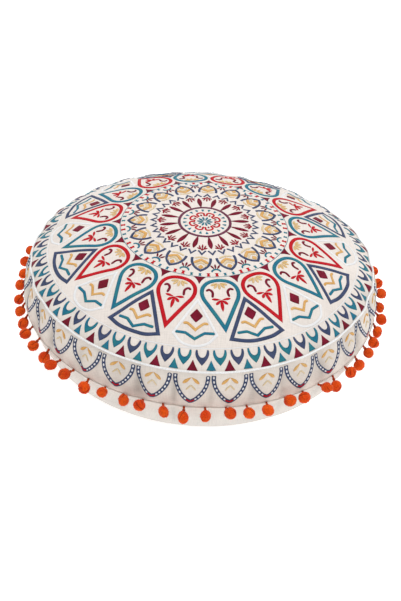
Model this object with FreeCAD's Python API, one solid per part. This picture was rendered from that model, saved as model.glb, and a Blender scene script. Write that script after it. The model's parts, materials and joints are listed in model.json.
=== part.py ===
"""Round floor cushion with a pom-pom trim: a zipped cotton cover over a fibre-filled insert.

Millimetres, +Z up. The origin is on the floor, at the middle of the round footprint, and the
front of the cushion faces -Y. The zipper runs round the back, low on the side, facing +Y.
Each function below makes the solids of one sub-part, and the last section writes them out.
"""
import FreeCAD, Part

import math
import os

V = FreeCAD.Vector
UP = V(0, 0, 1)
ORIGIN = V(0, 0, 0)

# ---- driving dimensions --------------------------------------------------------------------
SEAM_RADIUS = 300.0          # the perimeter seam joins the two round panels here
SEAM_HEIGHT = 90.0           # height of that seam above the floor
CROWN_HEIGHT = 132.4         # rise of the top panel above the seam
FOOT_RADIUS = 214.0          # flat part of the underside
PANEL_THICKNESS = 1.2        # cotton canvas
SEAM_ALLOWANCE = 10.0        # both panels turn inward by this much at the seam

TRIM_TAPE_THICKNESS = 1.0    # woven heading tape of the pom-pom trim, sewn into the seam
TRIM_TAPE_EDGE = 0.6         # how far the tape shows outside the seam
TRIM_TAPE_PLAY = 0.02        # between the tape and each panel
LOWER_TURN = 2.0             # the lower panel's inside turns this much before its allowance
THREAD_DIAMETER = 0.8
THREAD_PLAY = 0.05           # between the seam's threads and the panels

RING_CORD_DIAMETER = 3.2     # white cord couched round the shoulder of the top panel
RING_CORD_RADIUS = 288.4     # from the axis to the cord's middle
RING_CORD_HEIGHT = 60.6      # above the seam

POMPOM_COUNT = 60
POMPOM_RADIUS = 9.5
POMPOM_REACH = 14.5          # from the middle of the stem's knot to the middle of the ball
STEM_RADIUS = 1.5
KNOT_RADIUS = 1.7
KNOT_OFFSET = 2.8            # the knot's middle lies this far outside the seam
FIRST_POMPOM_AZIMUTH = -92.5  # the first one hangs just beside the middle of the front
HANG_STEP = 15.0             # degrees in one step of the two lists below

# How far each pom-pom hangs below the seam's plane, and how far it leans to the side, in steps,
# counter-clockwise from the front. Stiff stems and crowding leave no two of them alike.
DROOP_STEPS = (2, 0, -1, 0, 0, -2, -1, -1, 3, 4, 4, 4, 4, 4, 3, 4, 2, 2, 1, 3,
               4, 2, 3, 4, 1, 3, 2, 4, 3, 2, 4, 1, 3, 4, 2, 3, 4, 2, 3, 1,
               4, 3, 2, 1, 2, 4, 4, 4, 4, 4, 2, 3, 4, 1, 0, 1, -1, -1, -1, 0)
LEAN_STEPS = (0, 0, 1, 0, -1, 0, -2, 1, -1, 2, 0, 1, 0, -1, -1, 0, 0, -1, -1, 1,
              0, -1, 0, 1, 0, 0, -1, 1, 0, 0, 1, -1, 0, 0, 1, 0, -1, 0, 1, 0,
              -1, 0, 0, 1, 0, -1, -1, 1, 1, 1, 1, 0, 0, -1, -1, 1, 1, 2, 0, 1)

INSERT_CLEARANCE = 1.0       # between the cover's inside and the insert
INSERT_THICKNESS = 0.8       # non-woven casing of the insert
INSERT_WAIST_RADIUS = 288.6  # the insert is nipped in where the seam allowance lies
INSERT_WAIST_HALF = 4.0      # half the height of that waist
INSERT_ZIP_ROOM = 3.2        # further clearance from the bottom panel, for the zipper
INSERT_FOOT_SETBACK = 4.0    # the insert's flat foot is this much smaller than the cover's
FILLING_PLAY = 0.1           # between the casing and the filling

ZIP_HALF_ANGLE = 50.0        # the zipper opening covers twice this, round the back
ZIP_DROP = 43.0              # its middle lies this far below the seam
ZIP_SLOT_WIDTH = 8.6         # opening in the bottom panel that shows the coils and slider
ZIP_SLOT_DEPTH = 6.0         # the cut for the slot reaches this far to each side of the panel's face
ZIP_TAPE_WIDTH = 12.0
ZIP_TAPE_THICKNESS = 0.6
ZIP_TAPE_SETBACK = 0.4       # the tape ends this much behind the coil's inner edge
ZIP_TAPE_PLAY = 0.25         # between the tape and the panel's inside
ZIP_TAPE_OVERHANG = 1.5      # degrees that the tape runs on beyond each end of the slot
ZIP_COIL_WIDTH = 2.6
ZIP_COIL_HEIGHT = 2.0
ZIP_COIL_BASE = -PANEL_THICKNESS - 0.2   # depth of the coils' foot below the panel's outside
ZIP_COIL_SETBACK = 2.0       # degrees from each end of the slot to the first turn of the coils
ZIP_CENTRE_GAP = 1.4         # the slider's post runs between the coils
ZIP_STOP_HALF_ANGLE = 0.5
ZIP_STOP_SETBACK = 1.4       # degrees from each end of the slot to the middle of its stop
ZIP_STITCH_OFFSET = 2.0      # from the slot's edge to the row of stitches
ZIP_STITCH_LIFT = 0.35       # of the stitches above the curved panel's chord
ZIP_STITCH_OVERHANG = 1.0    # degrees that the stitches run on beyond each end of the slot
SLIDER_HALF_ANGLE = 1.0      # half the slider's length, as an angle at the axis
SLIDER_WIDTH = 8.8
SLIDER_PLATE = 1.0
SLIDER_CLEARANCE = 0.4
SLIDER_TAPE_PLAY = 0.05      # allowance for the tape below the coils
SLIDER_POST = 0.6
SLIDER_POST_ROOT = 0.2       # the post is let into both plates by this much
SLIDER_REST_ANGLE = -44.0    # closed end of the travel, measured from +Y round the axis
PULL_LENGTH = 27.0
PULL_WIDTH = 5.0
PULL_THICKNESS = 1.4
PULL_EYE_RADIUS = 1.35
PULL_EYE_WALL = 0.9
PULL_FLARE = 0.6             # the blade is this much wider to each side than the eye
PULL_NECK = 8.0              # from the bail to where the blade has its full width
PULL_TIP = 2.0               # length of the blade's tapered tip
PULL_TIP_INSET = 1.0         # the tip is narrower than the eye by this much to each side
PULL_BLADE_START = PULL_EYE_RADIUS + 0.3
GRIP_HOLE_RADIUS = 1.1
GRIP_HOLE_SETBACK = 4.5      # from the blade's tip to the middle of its grip hole
TOOL_MARGIN = 1.0            # a cutting tool reaches this far beyond what it cuts
BAIL_WIRE_RADIUS = 0.9
BAIL_SIDE_ROOM = 1.2         # between the pull tab and each leg of the bail
BAIL_LIFT = 0.6              # between the pull tab's eye and the slider's outer plate
BAIL_LEG_INSET = 0.2         # the legs stand this much inside the ends of the wire
BAIL_LEG_ROOT = 0.3          # the legs are let into the outer plate by this much

# Outline of the top panel from the crown to the seam, as (radius, height above the seam).
TOP_OUTLINE = ((0.0, CROWN_HEIGHT), (43.0, 131.6), (140.3, 121.6), (231.3, 93.4),
               (270.0, 74.0), (288.0, 57.5), (298.0, 32.0), (300.5, 14.0), (SEAM_RADIUS, 1.8))

# Outline of the bottom panel from the seam to the flat underside, in the same terms.
BOTTOM_OUTLINE = ((SEAM_RADIUS, -1.8), (297.4, -6.0), (296.0, -14.0), (293.4, -27.0),
                  (287.4, -40.0), (281.0, -54.0), (272.5, -67.0), (260.0, -78.5),
                  (240.0, -86.8), (FOOT_RADIUS, -SEAM_HEIGHT))


# ---- shared geometry -----------------------------------------------------------------------
def at(radius, height, azimuth=0.0):
    """Point given by its distance from the axis, its height and its azimuth in degrees."""
    turn = math.radians(azimuth)
    return V(radius * math.cos(turn), radius * math.sin(turn), height)


def above_seam(outline):
    """The same outline with heights measured from the floor."""
    return [(radius, height + SEAM_HEIGHT) for radius, height in outline]


def inset(outline, distance):
    """Outline moved towards the inside of the cushion by distance, square to its own line."""
    moved = []
    last = len(outline) - 1
    for index, (radius, height) in enumerate(outline):
        before = outline[max(index - 1, 0)]
        after = outline[min(index + 1, last)]
        along = V(after[0] - before[0], 0, after[1] - before[1])
        along.normalize()
        on_axis = radius == 0.0
        moved.append((0.0 if on_axis else radius + along.z * distance,
                      height - (distance if on_axis else along.x * distance)))
    return moved


def spline(points):
    """Smooth edge through (radius, height) points in the XZ half-plane."""
    curve = Part.BSplineCurve()
    curve.interpolate([V(radius, 0, height) for radius, height in points])
    return curve.toShape()


def line(start, end):
    """Straight edge between two (radius, height) points in the XZ half-plane."""
    return Part.makeLine(V(start[0], 0, start[1]), V(end[0], 0, end[1]))


def closed_chain(corners):
    """Straight edges that join the corners in a closed loop."""
    return [line(corner, corners[(index + 1) % len(corners)]) for index, corner in enumerate(corners)]


def spun(edges, sweep=360.0, start=0.0):
    """Solid made by turning a closed outline about +Z through sweep degrees from start."""
    face = Part.Face(Part.Wire(Part.__sortEdges__(edges)))
    face.rotate(ORIGIN, UP, start)
    solid = face.revolve(ORIGIN, UP, sweep)
    if solid.Volume < 0:
        solid.reverse()
    return solid


# ---- cover ---------------------------------------------------------------------------------
def top_panel():
    """Domed upper panel with its seam allowance turned inward."""
    outer = above_seam(TOP_OUTLINE)
    inner = inset(outer, PANEL_THICKNESS)
    floor_of_allowance = SEAM_HEIGHT + TRIM_TAPE_THICKNESS / 2
    tip = SEAM_RADIUS - SEAM_ALLOWANCE
    inner[-1] = (SEAM_RADIUS - PANEL_THICKNESS, floor_of_allowance + PANEL_THICKNESS)
    return spun([spline(outer),
                 line(outer[-1], (SEAM_RADIUS, floor_of_allowance)),
                 line((SEAM_RADIUS, floor_of_allowance), (tip, floor_of_allowance)),
                 line((tip, floor_of_allowance), (tip, inner[-1][1])),
                 line((tip, inner[-1][1]), inner[-1]),
                 spline(inner),
                 line(inner[0], outer[0])])


def zip_frame():
    """Middle of the zipper on the bottom panel's outline, and its direction up that outline."""
    upper, lower = above_seam(BOTTOM_OUTLINE)[4], above_seam(BOTTOM_OUTLINE)[5]
    up_line = V(upper[0] - lower[0], 0, upper[1] - lower[1])
    up_line.normalize()
    share = (SEAM_HEIGHT - ZIP_DROP - lower[1]) / (upper[1] - lower[1])
    return V(lower[0] + share * (upper[0] - lower[0]), 0, SEAM_HEIGHT - ZIP_DROP), up_line


def zip_section(low, high, depth_out, depth_in):
    """Box outline at the zipper: low to high up the panel, depth_out to depth_in across it."""
    middle, up_line = zip_frame()
    outward = V(up_line.z, 0, -up_line.x)
    corners = []
    for along, across in ((low, depth_out), (high, depth_out), (high, depth_in), (low, depth_in)):
        corner = middle + up_line * along + outward * across
        corners.append((corner.x, corner.z))
    return closed_chain(corners)


def zip_arc(low, high, depth_out, depth_in, half_angle, centre=0.0):
    """Solid of that section, swept round the back of the cushion about the angle centre."""
    return spun(zip_section(low, high, depth_out, depth_in), 2 * half_angle, 90.0 + centre - half_angle)


def bottom_panel():
    """Plain lower panel, flat underneath, with the zipper's slot at the back."""
    outer = above_seam(BOTTOM_OUTLINE)
    inner = inset(outer, PANEL_THICKNESS)
    top_of_allowance = SEAM_HEIGHT - TRIM_TAPE_THICKNESS / 2
    tip = SEAM_RADIUS - SEAM_ALLOWANCE
    inner[0] = (SEAM_RADIUS - PANEL_THICKNESS - LOWER_TURN, top_of_allowance - PANEL_THICKNESS)
    inner[-1] = (FOOT_RADIUS, PANEL_THICKNESS)
    shell = spun([spline(outer),
                  line(outer[-1], (0.0, 0.0)),
                  line((0.0, 0.0), (0.0, PANEL_THICKNESS)),
                  line((0.0, PANEL_THICKNESS), inner[-1]),
                  spline(inner),
                  line(inner[0], (tip, inner[0][1])),
                  line((tip, inner[0][1]), (tip, top_of_allowance)),
                  line((tip, top_of_allowance), (SEAM_RADIUS, top_of_allowance)),
                  line((SEAM_RADIUS, top_of_allowance), outer[0])])
    slot = zip_arc(-ZIP_SLOT_WIDTH / 2, ZIP_SLOT_WIDTH / 2, ZIP_SLOT_DEPTH, -ZIP_SLOT_DEPTH,
                   ZIP_HALF_ANGLE)
    return shell.cut(slot)


def trim_tape():
    """Heading tape of the pom-pom trim, caught between the two seam allowances."""
    half = TRIM_TAPE_THICKNESS / 2 - TRIM_TAPE_PLAY
    low, high = SEAM_HEIGHT - half, SEAM_HEIGHT + half
    tip, edge = SEAM_RADIUS - SEAM_ALLOWANCE, SEAM_RADIUS + TRIM_TAPE_EDGE
    return spun(closed_chain([(tip, low), (edge, low), (edge, high), (tip, high)]))


def seam_stitching():
    """Needle thread above the seam allowances and bobbin thread below them."""
    radius = SEAM_RADIUS - SEAM_ALLOWANCE / 2
    lift = TRIM_TAPE_THICKNESS / 2 + PANEL_THICKNESS + THREAD_DIAMETER / 2 + THREAD_PLAY
    heights = (SEAM_HEIGHT + lift, SEAM_HEIGHT - lift)
    return Part.makeCompound([Part.makeTorus(radius, THREAD_DIAMETER / 2, V(0, 0, height))
                              for height in heights])


def shoulder_cord():
    """White cord couched in a ring on the shoulder of the top panel."""
    return Part.makeTorus(RING_CORD_RADIUS, RING_CORD_DIAMETER / 2, V(0, 0, SEAM_HEIGHT + RING_CORD_HEIGHT))


# ---- insert --------------------------------------------------------------------------------
def insert_outline(distance):
    """Closed outline of the insert, distance inside the largest insert that the cover takes."""
    gap = PANEL_THICKNESS + INSERT_CLEARANCE + distance
    upper = inset(above_seam(TOP_OUTLINE[:-1]), gap)
    waist = INSERT_WAIST_RADIUS - distance
    upper.append((waist, SEAM_HEIGHT + INSERT_WAIST_HALF + distance))
    zip_room = gap + INSERT_ZIP_ROOM
    lower = [(waist, SEAM_HEIGHT - INSERT_WAIST_HALF - distance)]
    lower += inset(above_seam(BOTTOM_OUTLINE), zip_room)[3:-1]
    lower.append((FOOT_RADIUS - INSERT_FOOT_SETBACK, gap))
    return [spline(upper), line(upper[-1], lower[0]), spline(lower),
            line(lower[-1], (0.0, gap)), line((0.0, gap), upper[0])]


def insert_casing():
    """Sewn non-woven bag that holds the filling."""
    return spun(insert_outline(0.0)).cut(spun(insert_outline(INSERT_THICKNESS)))


def fibre_filling():
    """Polyester fibre that fills the casing."""
    return spun(insert_outline(INSERT_THICKNESS + FILLING_PLAY))


# ---- zipper --------------------------------------------------------------------------------
def zipper_tape(side):
    """Woven tape behind the panel, on the upper (1) or lower (-1) side of the slot."""
    near = side * (ZIP_CENTRE_GAP / 2 + ZIP_TAPE_SETBACK)
    far = side * (ZIP_CENTRE_GAP / 2 + ZIP_TAPE_WIDTH)
    front = -PANEL_THICKNESS - ZIP_TAPE_PLAY
    return zip_arc(min(near, far), max(near, far), front, front - ZIP_TAPE_THICKNESS,
                   ZIP_HALF_ANGLE + ZIP_TAPE_OVERHANG)


def zipper_coil(side):
    """Row of coil teeth on the tape's inner edge, as the envelope of its turns."""
    near = side * ZIP_CENTRE_GAP / 2
    far = side * (ZIP_CENTRE_GAP / 2 + ZIP_COIL_WIDTH)
    return zip_arc(min(near, far), max(near, far), ZIP_COIL_BASE + ZIP_COIL_HEIGHT, ZIP_COIL_BASE,
                   ZIP_HALF_ANGLE - ZIP_COIL_SETBACK)


def zipper_stop(end):
    """Crimped stop over both coils, at the closed (-1) or open (1) end of the chain."""
    reach = ZIP_CENTRE_GAP / 2 + ZIP_COIL_WIDTH
    return zip_arc(-reach, reach, ZIP_COIL_BASE + ZIP_COIL_HEIGHT, ZIP_COIL_BASE, ZIP_STOP_HALF_ANGLE,
                   end * (ZIP_HALF_ANGLE - ZIP_STOP_SETBACK))


def zipper_stitching():
    """Two rows of lockstitch that hold the tapes to the panel, one each side of the slot."""
    rows = []
    for side in (1, -1):
        middle = side * (ZIP_SLOT_WIDTH / 2 + ZIP_STITCH_OFFSET)
        rows.append(zip_arc(middle - THREAD_DIAMETER / 2, middle + THREAD_DIAMETER / 2,
                            ZIP_STITCH_LIFT + THREAD_DIAMETER, ZIP_STITCH_LIFT,
                            ZIP_HALF_ANGLE + ZIP_STITCH_OVERHANG))
    return Part.makeCompound(rows)


def slider_levels():
    """Depths of the slider's outer and inner plates, as (low, high) across the panel."""
    outer_low = ZIP_COIL_BASE + ZIP_COIL_HEIGHT + SLIDER_CLEARANCE
    inner_high = ZIP_COIL_BASE - ZIP_TAPE_THICKNESS - SLIDER_TAPE_PLAY - SLIDER_CLEARANCE
    return (outer_low, outer_low + SLIDER_PLATE), (inner_high - SLIDER_PLATE, inner_high)


def slider_point(along, across, around=0.0):
    """Point on the slider: up the panel, out from it, and round the arc in millimetres."""
    middle, up_line = zip_frame()
    outward = V(up_line.z, 0, -up_line.x)
    local = middle + up_line * along + outward * across + V(0, 1, 0) * around
    return FreeCAD.Rotation(UP, 90.0 + SLIDER_REST_ANGLE).multVec(local)


def slider_direction(along=0.0, across=0.0, around=0.0):
    """Direction in the slider's own terms, turned to where the slider rests."""
    direction = slider_point(along, across, around) - slider_point(0.0, 0.0, 0.0)
    direction.normalize()
    return direction


def bail_height():
    """Height of the pull tab's hinge wire above the panel."""
    return slider_levels()[0][1] + PULL_EYE_RADIUS + PULL_EYE_WALL + BAIL_LIFT


def zipper_slider():
    """Slider: outer and inner plate, the post between the coils, and the bail for the pull tab."""
    outer, inner = slider_levels()
    half = SLIDER_WIDTH / 2
    outer_plate = zip_arc(-half, half, outer[1], outer[0], SLIDER_HALF_ANGLE, SLIDER_REST_ANGLE)
    inner_plate = zip_arc(-half, half, inner[1], inner[0], SLIDER_HALF_ANGLE, SLIDER_REST_ANGLE)
    post = zip_arc(-SLIDER_POST / 2, SLIDER_POST / 2, outer[0] + SLIDER_POST_ROOT,
                   inner[1] - SLIDER_POST_ROOT, SLIDER_HALF_ANGLE / 2, SLIDER_REST_ANGLE)
    wire_half = PULL_WIDTH / 2 + BAIL_SIDE_ROOM
    wire = Part.makeCylinder(BAIL_WIRE_RADIUS, 2 * wire_half, slider_point(-wire_half, bail_height()),
                             slider_direction(along=1.0))
    body = outer_plate.fuse([inner_plate, post, wire])
    for side in (1, -1):
        foot = slider_point(side * (wire_half - BAIL_LEG_INSET), outer[1] - BAIL_LEG_ROOT)
        leg = Part.makeCylinder(BAIL_WIRE_RADIUS, bail_height() - outer[1] + BAIL_LEG_ROOT, foot,
                                slider_direction(across=1.0))
        body = body.fuse(leg)
    return body.removeSplitter()


def zipper_pull_tab():
    """Flat pull tab with an eye round the bail, lying along the chain."""
    eye_outer = PULL_EYE_RADIUS + PULL_EYE_WALL
    half = PULL_WIDTH / 2 - PULL_FLARE
    axis, outward = slider_direction(along=1.0), slider_direction(across=1.0)
    eye = Part.makeCylinder(eye_outer, 2 * half, slider_point(-half, bail_height()), axis)
    hole = Part.makeCylinder(PULL_EYE_RADIUS, 2 * (half + TOOL_MARGIN),
                             slider_point(-half - TOOL_MARGIN, bail_height()), axis)
    bottom = bail_height() - PULL_THICKNESS / 2
    wide, tip = half + PULL_FLARE, half - PULL_TIP_INSET
    taper = PULL_LENGTH - PULL_TIP
    corners = [slider_point(along, bottom, around) for along, around in
               ((-half, PULL_BLADE_START), (half, PULL_BLADE_START), (wide, PULL_NECK), (wide, taper),
                (tip, PULL_LENGTH), (-tip, PULL_LENGTH), (-wide, taper), (-wide, PULL_NECK))]
    blade = Part.Face(Part.makePolygon(corners + corners[:1])).extrude(outward * PULL_THICKNESS)
    grip_hole = Part.makeCylinder(GRIP_HOLE_RADIUS, PULL_THICKNESS + 2 * TOOL_MARGIN,
                                  slider_point(0.0, bottom - TOOL_MARGIN, PULL_LENGTH - GRIP_HOLE_SETBACK),
                                  outward)
    return eye.fuse(blade).cut(hole).cut(grip_hole).removeSplitter()


# ---- pom-poms ------------------------------------------------------------------------------
def pompom(index):
    """One pom-pom: a knot at the seam, a short stem and a ball, along its own hanging line."""
    azimuth = FIRST_POMPOM_AZIMUTH + index * 360.0 / POMPOM_COUNT
    droop = math.radians(DROOP_STEPS[index] * HANG_STEP)
    lean = math.radians(LEAN_STEPS[index] * HANG_STEP)
    knot = at(SEAM_RADIUS + KNOT_OFFSET, SEAM_HEIGHT, azimuth)
    outward, sideways = at(1, 0, azimuth), at(1, 0, azimuth + 90.0)
    hang = (outward * math.cos(droop) - UP * math.sin(droop)) * math.cos(lean) + sideways * math.sin(lean)
    neck = math.sqrt(KNOT_RADIUS ** 2 - STEM_RADIUS ** 2)
    shoulder = POMPOM_REACH - math.sqrt(POMPOM_RADIUS ** 2 - STEM_RADIUS ** 2)
    knot_arc = Part.Arc(V(0, 0, -KNOT_RADIUS), V(KNOT_RADIUS, 0, 0), V(STEM_RADIUS, 0, neck))
    ball_arc = Part.Arc(V(STEM_RADIUS, 0, shoulder), V(POMPOM_RADIUS, 0, POMPOM_REACH),
                        V(0, 0, POMPOM_REACH + POMPOM_RADIUS))
    solid = spun([knot_arc.toShape(), line((STEM_RADIUS, neck), (STEM_RADIUS, shoulder)),
                  ball_arc.toShape(), line((0, POMPOM_REACH + POMPOM_RADIUS), (0, -KNOT_RADIUS))])
    solid.Placement = FreeCAD.Placement(knot, FreeCAD.Rotation(UP, hang))
    return solid


def pompom_pair(number):
    """Two neighbouring pom-poms that swing as one."""
    return Part.makeCompound([pompom(2 * number), pompom(2 * number + 1)])


# ---- write every sub-part ------------------------------------------------------------------
subparts = {
    "top_panel": top_panel(),
    "bottom_panel": bottom_panel(),
    "trim_tape": trim_tape(),
    "seam_stitching": seam_stitching(),
    "shoulder_cord": shoulder_cord(),
    "insert_casing": insert_casing(),
    "fibre_filling": fibre_filling(),
    "zipper_tape_upper": zipper_tape(1),
    "zipper_tape_lower": zipper_tape(-1),
    "zipper_coil_upper": zipper_coil(1),
    "zipper_coil_lower": zipper_coil(-1),
    "zipper_stitching": zipper_stitching(),
    "zipper_slider": zipper_slider(),
    "zipper_pull_tab": zipper_pull_tab(),
    "zipper_top_stop": zipper_stop(-1),
    "zipper_bottom_stop": zipper_stop(1),
}
for pair in range(POMPOM_COUNT // 2):
    subparts["pompom_pair_%02d" % (pair + 1)] = pompom_pair(pair)

os.makedirs("parts", exist_ok=True)
for name, shape in subparts.items():
    shape.exportStep("parts/%s.step" % name)
    print(name, "valid" if shape.isValid() else "INVALID", len(shape.Solids), round(shape.Volume, 1))
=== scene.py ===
"""Looks of the round floor cushion: an embroidered, zipped cotton cover with a pom-pom trim.

Metres, +Z up, front towards -Y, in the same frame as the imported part. Each class below builds one
sub-assembly. The embroidery is laid out on the flat round panel as it is cut, in millimetres, and
CushionShape then maps every flat point onto the stuffed, puckered cover.
"""

import json
import logging
import math
from dataclasses import dataclass, field
from enum import Enum
from typing import Callable, Iterable, Sequence

import bmesh
import bpy
import numpy as np
from mathutils import Matrix, Vector

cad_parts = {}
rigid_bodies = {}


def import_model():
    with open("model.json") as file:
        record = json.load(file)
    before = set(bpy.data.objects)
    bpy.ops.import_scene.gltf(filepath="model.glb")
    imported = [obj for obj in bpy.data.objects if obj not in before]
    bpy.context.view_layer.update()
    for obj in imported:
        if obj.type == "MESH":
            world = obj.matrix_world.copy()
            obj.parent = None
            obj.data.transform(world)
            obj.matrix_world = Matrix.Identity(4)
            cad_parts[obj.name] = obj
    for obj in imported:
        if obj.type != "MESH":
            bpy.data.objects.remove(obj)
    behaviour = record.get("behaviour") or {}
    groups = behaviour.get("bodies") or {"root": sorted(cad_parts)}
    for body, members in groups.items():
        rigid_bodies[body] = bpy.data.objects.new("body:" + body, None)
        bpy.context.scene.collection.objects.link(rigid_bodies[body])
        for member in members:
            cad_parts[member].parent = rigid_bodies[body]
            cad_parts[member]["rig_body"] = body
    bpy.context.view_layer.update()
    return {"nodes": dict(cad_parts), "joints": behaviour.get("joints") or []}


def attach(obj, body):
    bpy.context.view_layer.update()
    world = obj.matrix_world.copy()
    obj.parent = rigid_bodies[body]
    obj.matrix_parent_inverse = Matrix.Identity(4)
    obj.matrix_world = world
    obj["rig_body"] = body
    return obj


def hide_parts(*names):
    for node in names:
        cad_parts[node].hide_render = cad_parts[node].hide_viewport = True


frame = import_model()

LOG = logging.getLogger("floor_cushion")
MM = 0.001
TURN = 2.0 * math.pi
CUSHION_BODY = "cushion"
SEAM_HEIGHT = 0.090
STEEP = 0.95  # rise of a line above which a tube takes +X for its side
WAVE_RADIANS = 20.0  # how far Blender's wave texture turns in a unit, at scale 1
COTTON = (0.830, 0.760, 0.705)
BASE_COTTON = (0.785, 0.745, 0.705)
Colour = tuple[float, float, float]
Pair = tuple[float, float]
Array = np.ndarray
Socket = bpy.types.NodeSocket
Thing = bpy.types.Object


# ---- materials ----
class Coordinates(Enum):
    """Which coordinates a pattern is laid out in."""

    FLAT = "flat"  # the uv map: millimetres on the flat cloth, or along and across a thread
    OBJECT = "object"  # metres in the object's own frame


class Shader:
    """A Principled material under construction, with short helpers for its nodes."""

    def __init__(self, name: str, coordinates: Coordinates) -> None:
        """Start a material.

        Args:
            name: the material's name.
            coordinates: what its patterns are laid out in.
        """
        self.material = bpy.data.materials.new(name)
        self.material.use_nodes = True
        self.tree = self.material.node_tree
        self.principled = self.tree.nodes["Principled BSDF"]
        if coordinates is Coordinates.FLAT:
            self.place = self._node("UVMap", "UV", {}, uv_map="flat")
        else:
            self.place = self._node("TexCoord", "Object", {})

    def _node(self, kind: str, output: str | int, inputs: dict[str | int, object], **settings: str) -> Socket:
        """Add a node.

        Args:
            kind: Blender's name of the node, without its prefix.
            output: name or number of the output that is wanted.
            inputs: sockets to link or values to set, by the name or number of the input.
            **settings: the node's own settings.

        Returns:
            The output.
        """
        node = self.tree.nodes.new(f"ShaderNode{kind}")
        for key, value in settings.items():
            setattr(node, key, value)
        for key, value in inputs.items():
            if isinstance(value, Socket):
                self.tree.links.new(value, node.inputs[key])
            else:
                node.inputs[key].default_value = value
        return node.outputs[output]

    def _drive(self, name: str, socket: Socket) -> None:
        """Link a socket to the Principled shader's input of that name."""
        self.tree.links.new(socket, self.principled.inputs[name])

    def set(self, **values: float | Colour) -> None:
        """Set sockets of the Principled shader, named with underscores for spaces.

        Args:
            **values: numbers, or colours as three values.
        """
        for key, value in values.items():
            socket = self.principled.inputs[key.replace("_", " ")]
            socket.default_value = (*value, 1.0) if isinstance(value, tuple) else value

    def scaled(self, x: float, y: float, z: float = 1.0) -> Socket:
        """Coordinates stretched by a factor along each axis."""
        return self._node("Mapping", "Vector", {"Scale": (x, y, z), "Vector": self.place})

    def noise(self, scale: float, detail: float = 2.0, vector: Socket | None = None) -> Socket:
        """Fractal noise from 0 to 1, by its repeats in one unit and its octaves of finer noise."""
        return self._node("TexNoise", "Fac", {"Scale": scale, "Detail": detail, "Vector": vector or self.place})

    def ridges(self, period: float, axis: str, distortion: float) -> Socket:
        """Parallel ridges from 0 to 1, across the X, Y or DIAGONAL axis, bent by noise."""
        scale = TURN / (WAVE_RADIANS * period)
        return self._node("TexWave", "Fac", {"Scale": scale, "Distortion": distortion, "Vector": self.place},
                          bands_direction=axis)

    def math(self, operation: str, first: Socket, second: Socket | float) -> Socket:
        """One arithmetic step, by Blender's name of the operation."""
        return self._node("Math", 0, {0: first, 1: second}, operation=operation)

    def blend(self, factor: Socket, low: Colour, high: Colour, start: float = 0.0, end: float = 1.0) -> Socket:
        """Colour that runs from low to high as the factor runs from start to end.

        Args:
            factor: the driving value.
            low: colour at start.
            high: colour at end.
            start: factor that gives low.
            end: factor that gives high.

        Returns:
            The colour.
        """
        node = self.tree.nodes.new("ShaderNodeValToRGB")
        first, last = node.color_ramp.elements
        first.position, last.position = start, end
        first.color, last.color = (*low, 1.0), (*high, 1.0)
        self.tree.links.new(factor, node.inputs["Fac"])
        return node.outputs["Color"]

    def multiply(self, first: Socket, second: Socket) -> Socket:
        """Product of two colours."""
        return self._node("Mix", "Result", {"Factor": 1.0, "A": first, "B": second},
                          data_type="RGBA", blend_type="MULTIPLY")

    def darken(self, tone: Socket, factor: Socket, dark: float, start: float, end: float) -> Socket:
        """Colour times a grey that runs from dark to white as the factor runs from start to end."""
        return self.multiply(tone, self.blend(factor, grey(dark), grey(1.0), start, end))

    def from_middle(self) -> Socket:
        """Distance from the middle of the coordinates."""
        return self._node("VectorMath", "Value", {0: self.place}, operation="LENGTH")

    def colour(self, socket: Socket) -> None:
        """Drive the base colour, darkened by the mesh's tone attribute, which carries painted shade and random tone.
        """
        tone = self._node("Attribute", "Color", {}, attribute_name="tone")
        self._drive("Base Color", self.multiply(socket, tone))

    def roughness(self, factor: Socket, low: float, high: float) -> None:
        """Drive the roughness, from low to high as the factor runs from 0 to 1."""
        self._drive("Roughness", self.blend(factor, grey(low), grey(high)))

    def bump(self, height: Socket, depth: float) -> None:
        """Drive the normal with a height from 0 to 1, which stands for that depth in metres."""
        self._drive("Normal", self._node("Bump", "Normal", {"Distance": depth, "Strength": 1.0, "Height": height}))


def grey(level: float) -> Colour:
    """Neutral colour of that level."""
    return (level, level, level)


def shade(colour: Colour, factor: float) -> Colour:
    """Colour made lighter or darker by a factor."""
    return tuple(min(channel * factor, 1.0) for channel in colour)


@dataclass(frozen=True)
class Finish:
    """A surface with a name and a base colour. Each kind below lays its own pattern."""

    name: str
    base: Colour
    COORDINATES = Coordinates.OBJECT

    def material(self) -> bpy.types.Material:
        """Build the material."""
        shader = Shader(self.name, self.COORDINATES)
        self._dress(shader)
        return shader.material

    def _dress(self, shader: Shader) -> None:
        """Lay the pattern."""
        raise NotImplementedError


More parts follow.
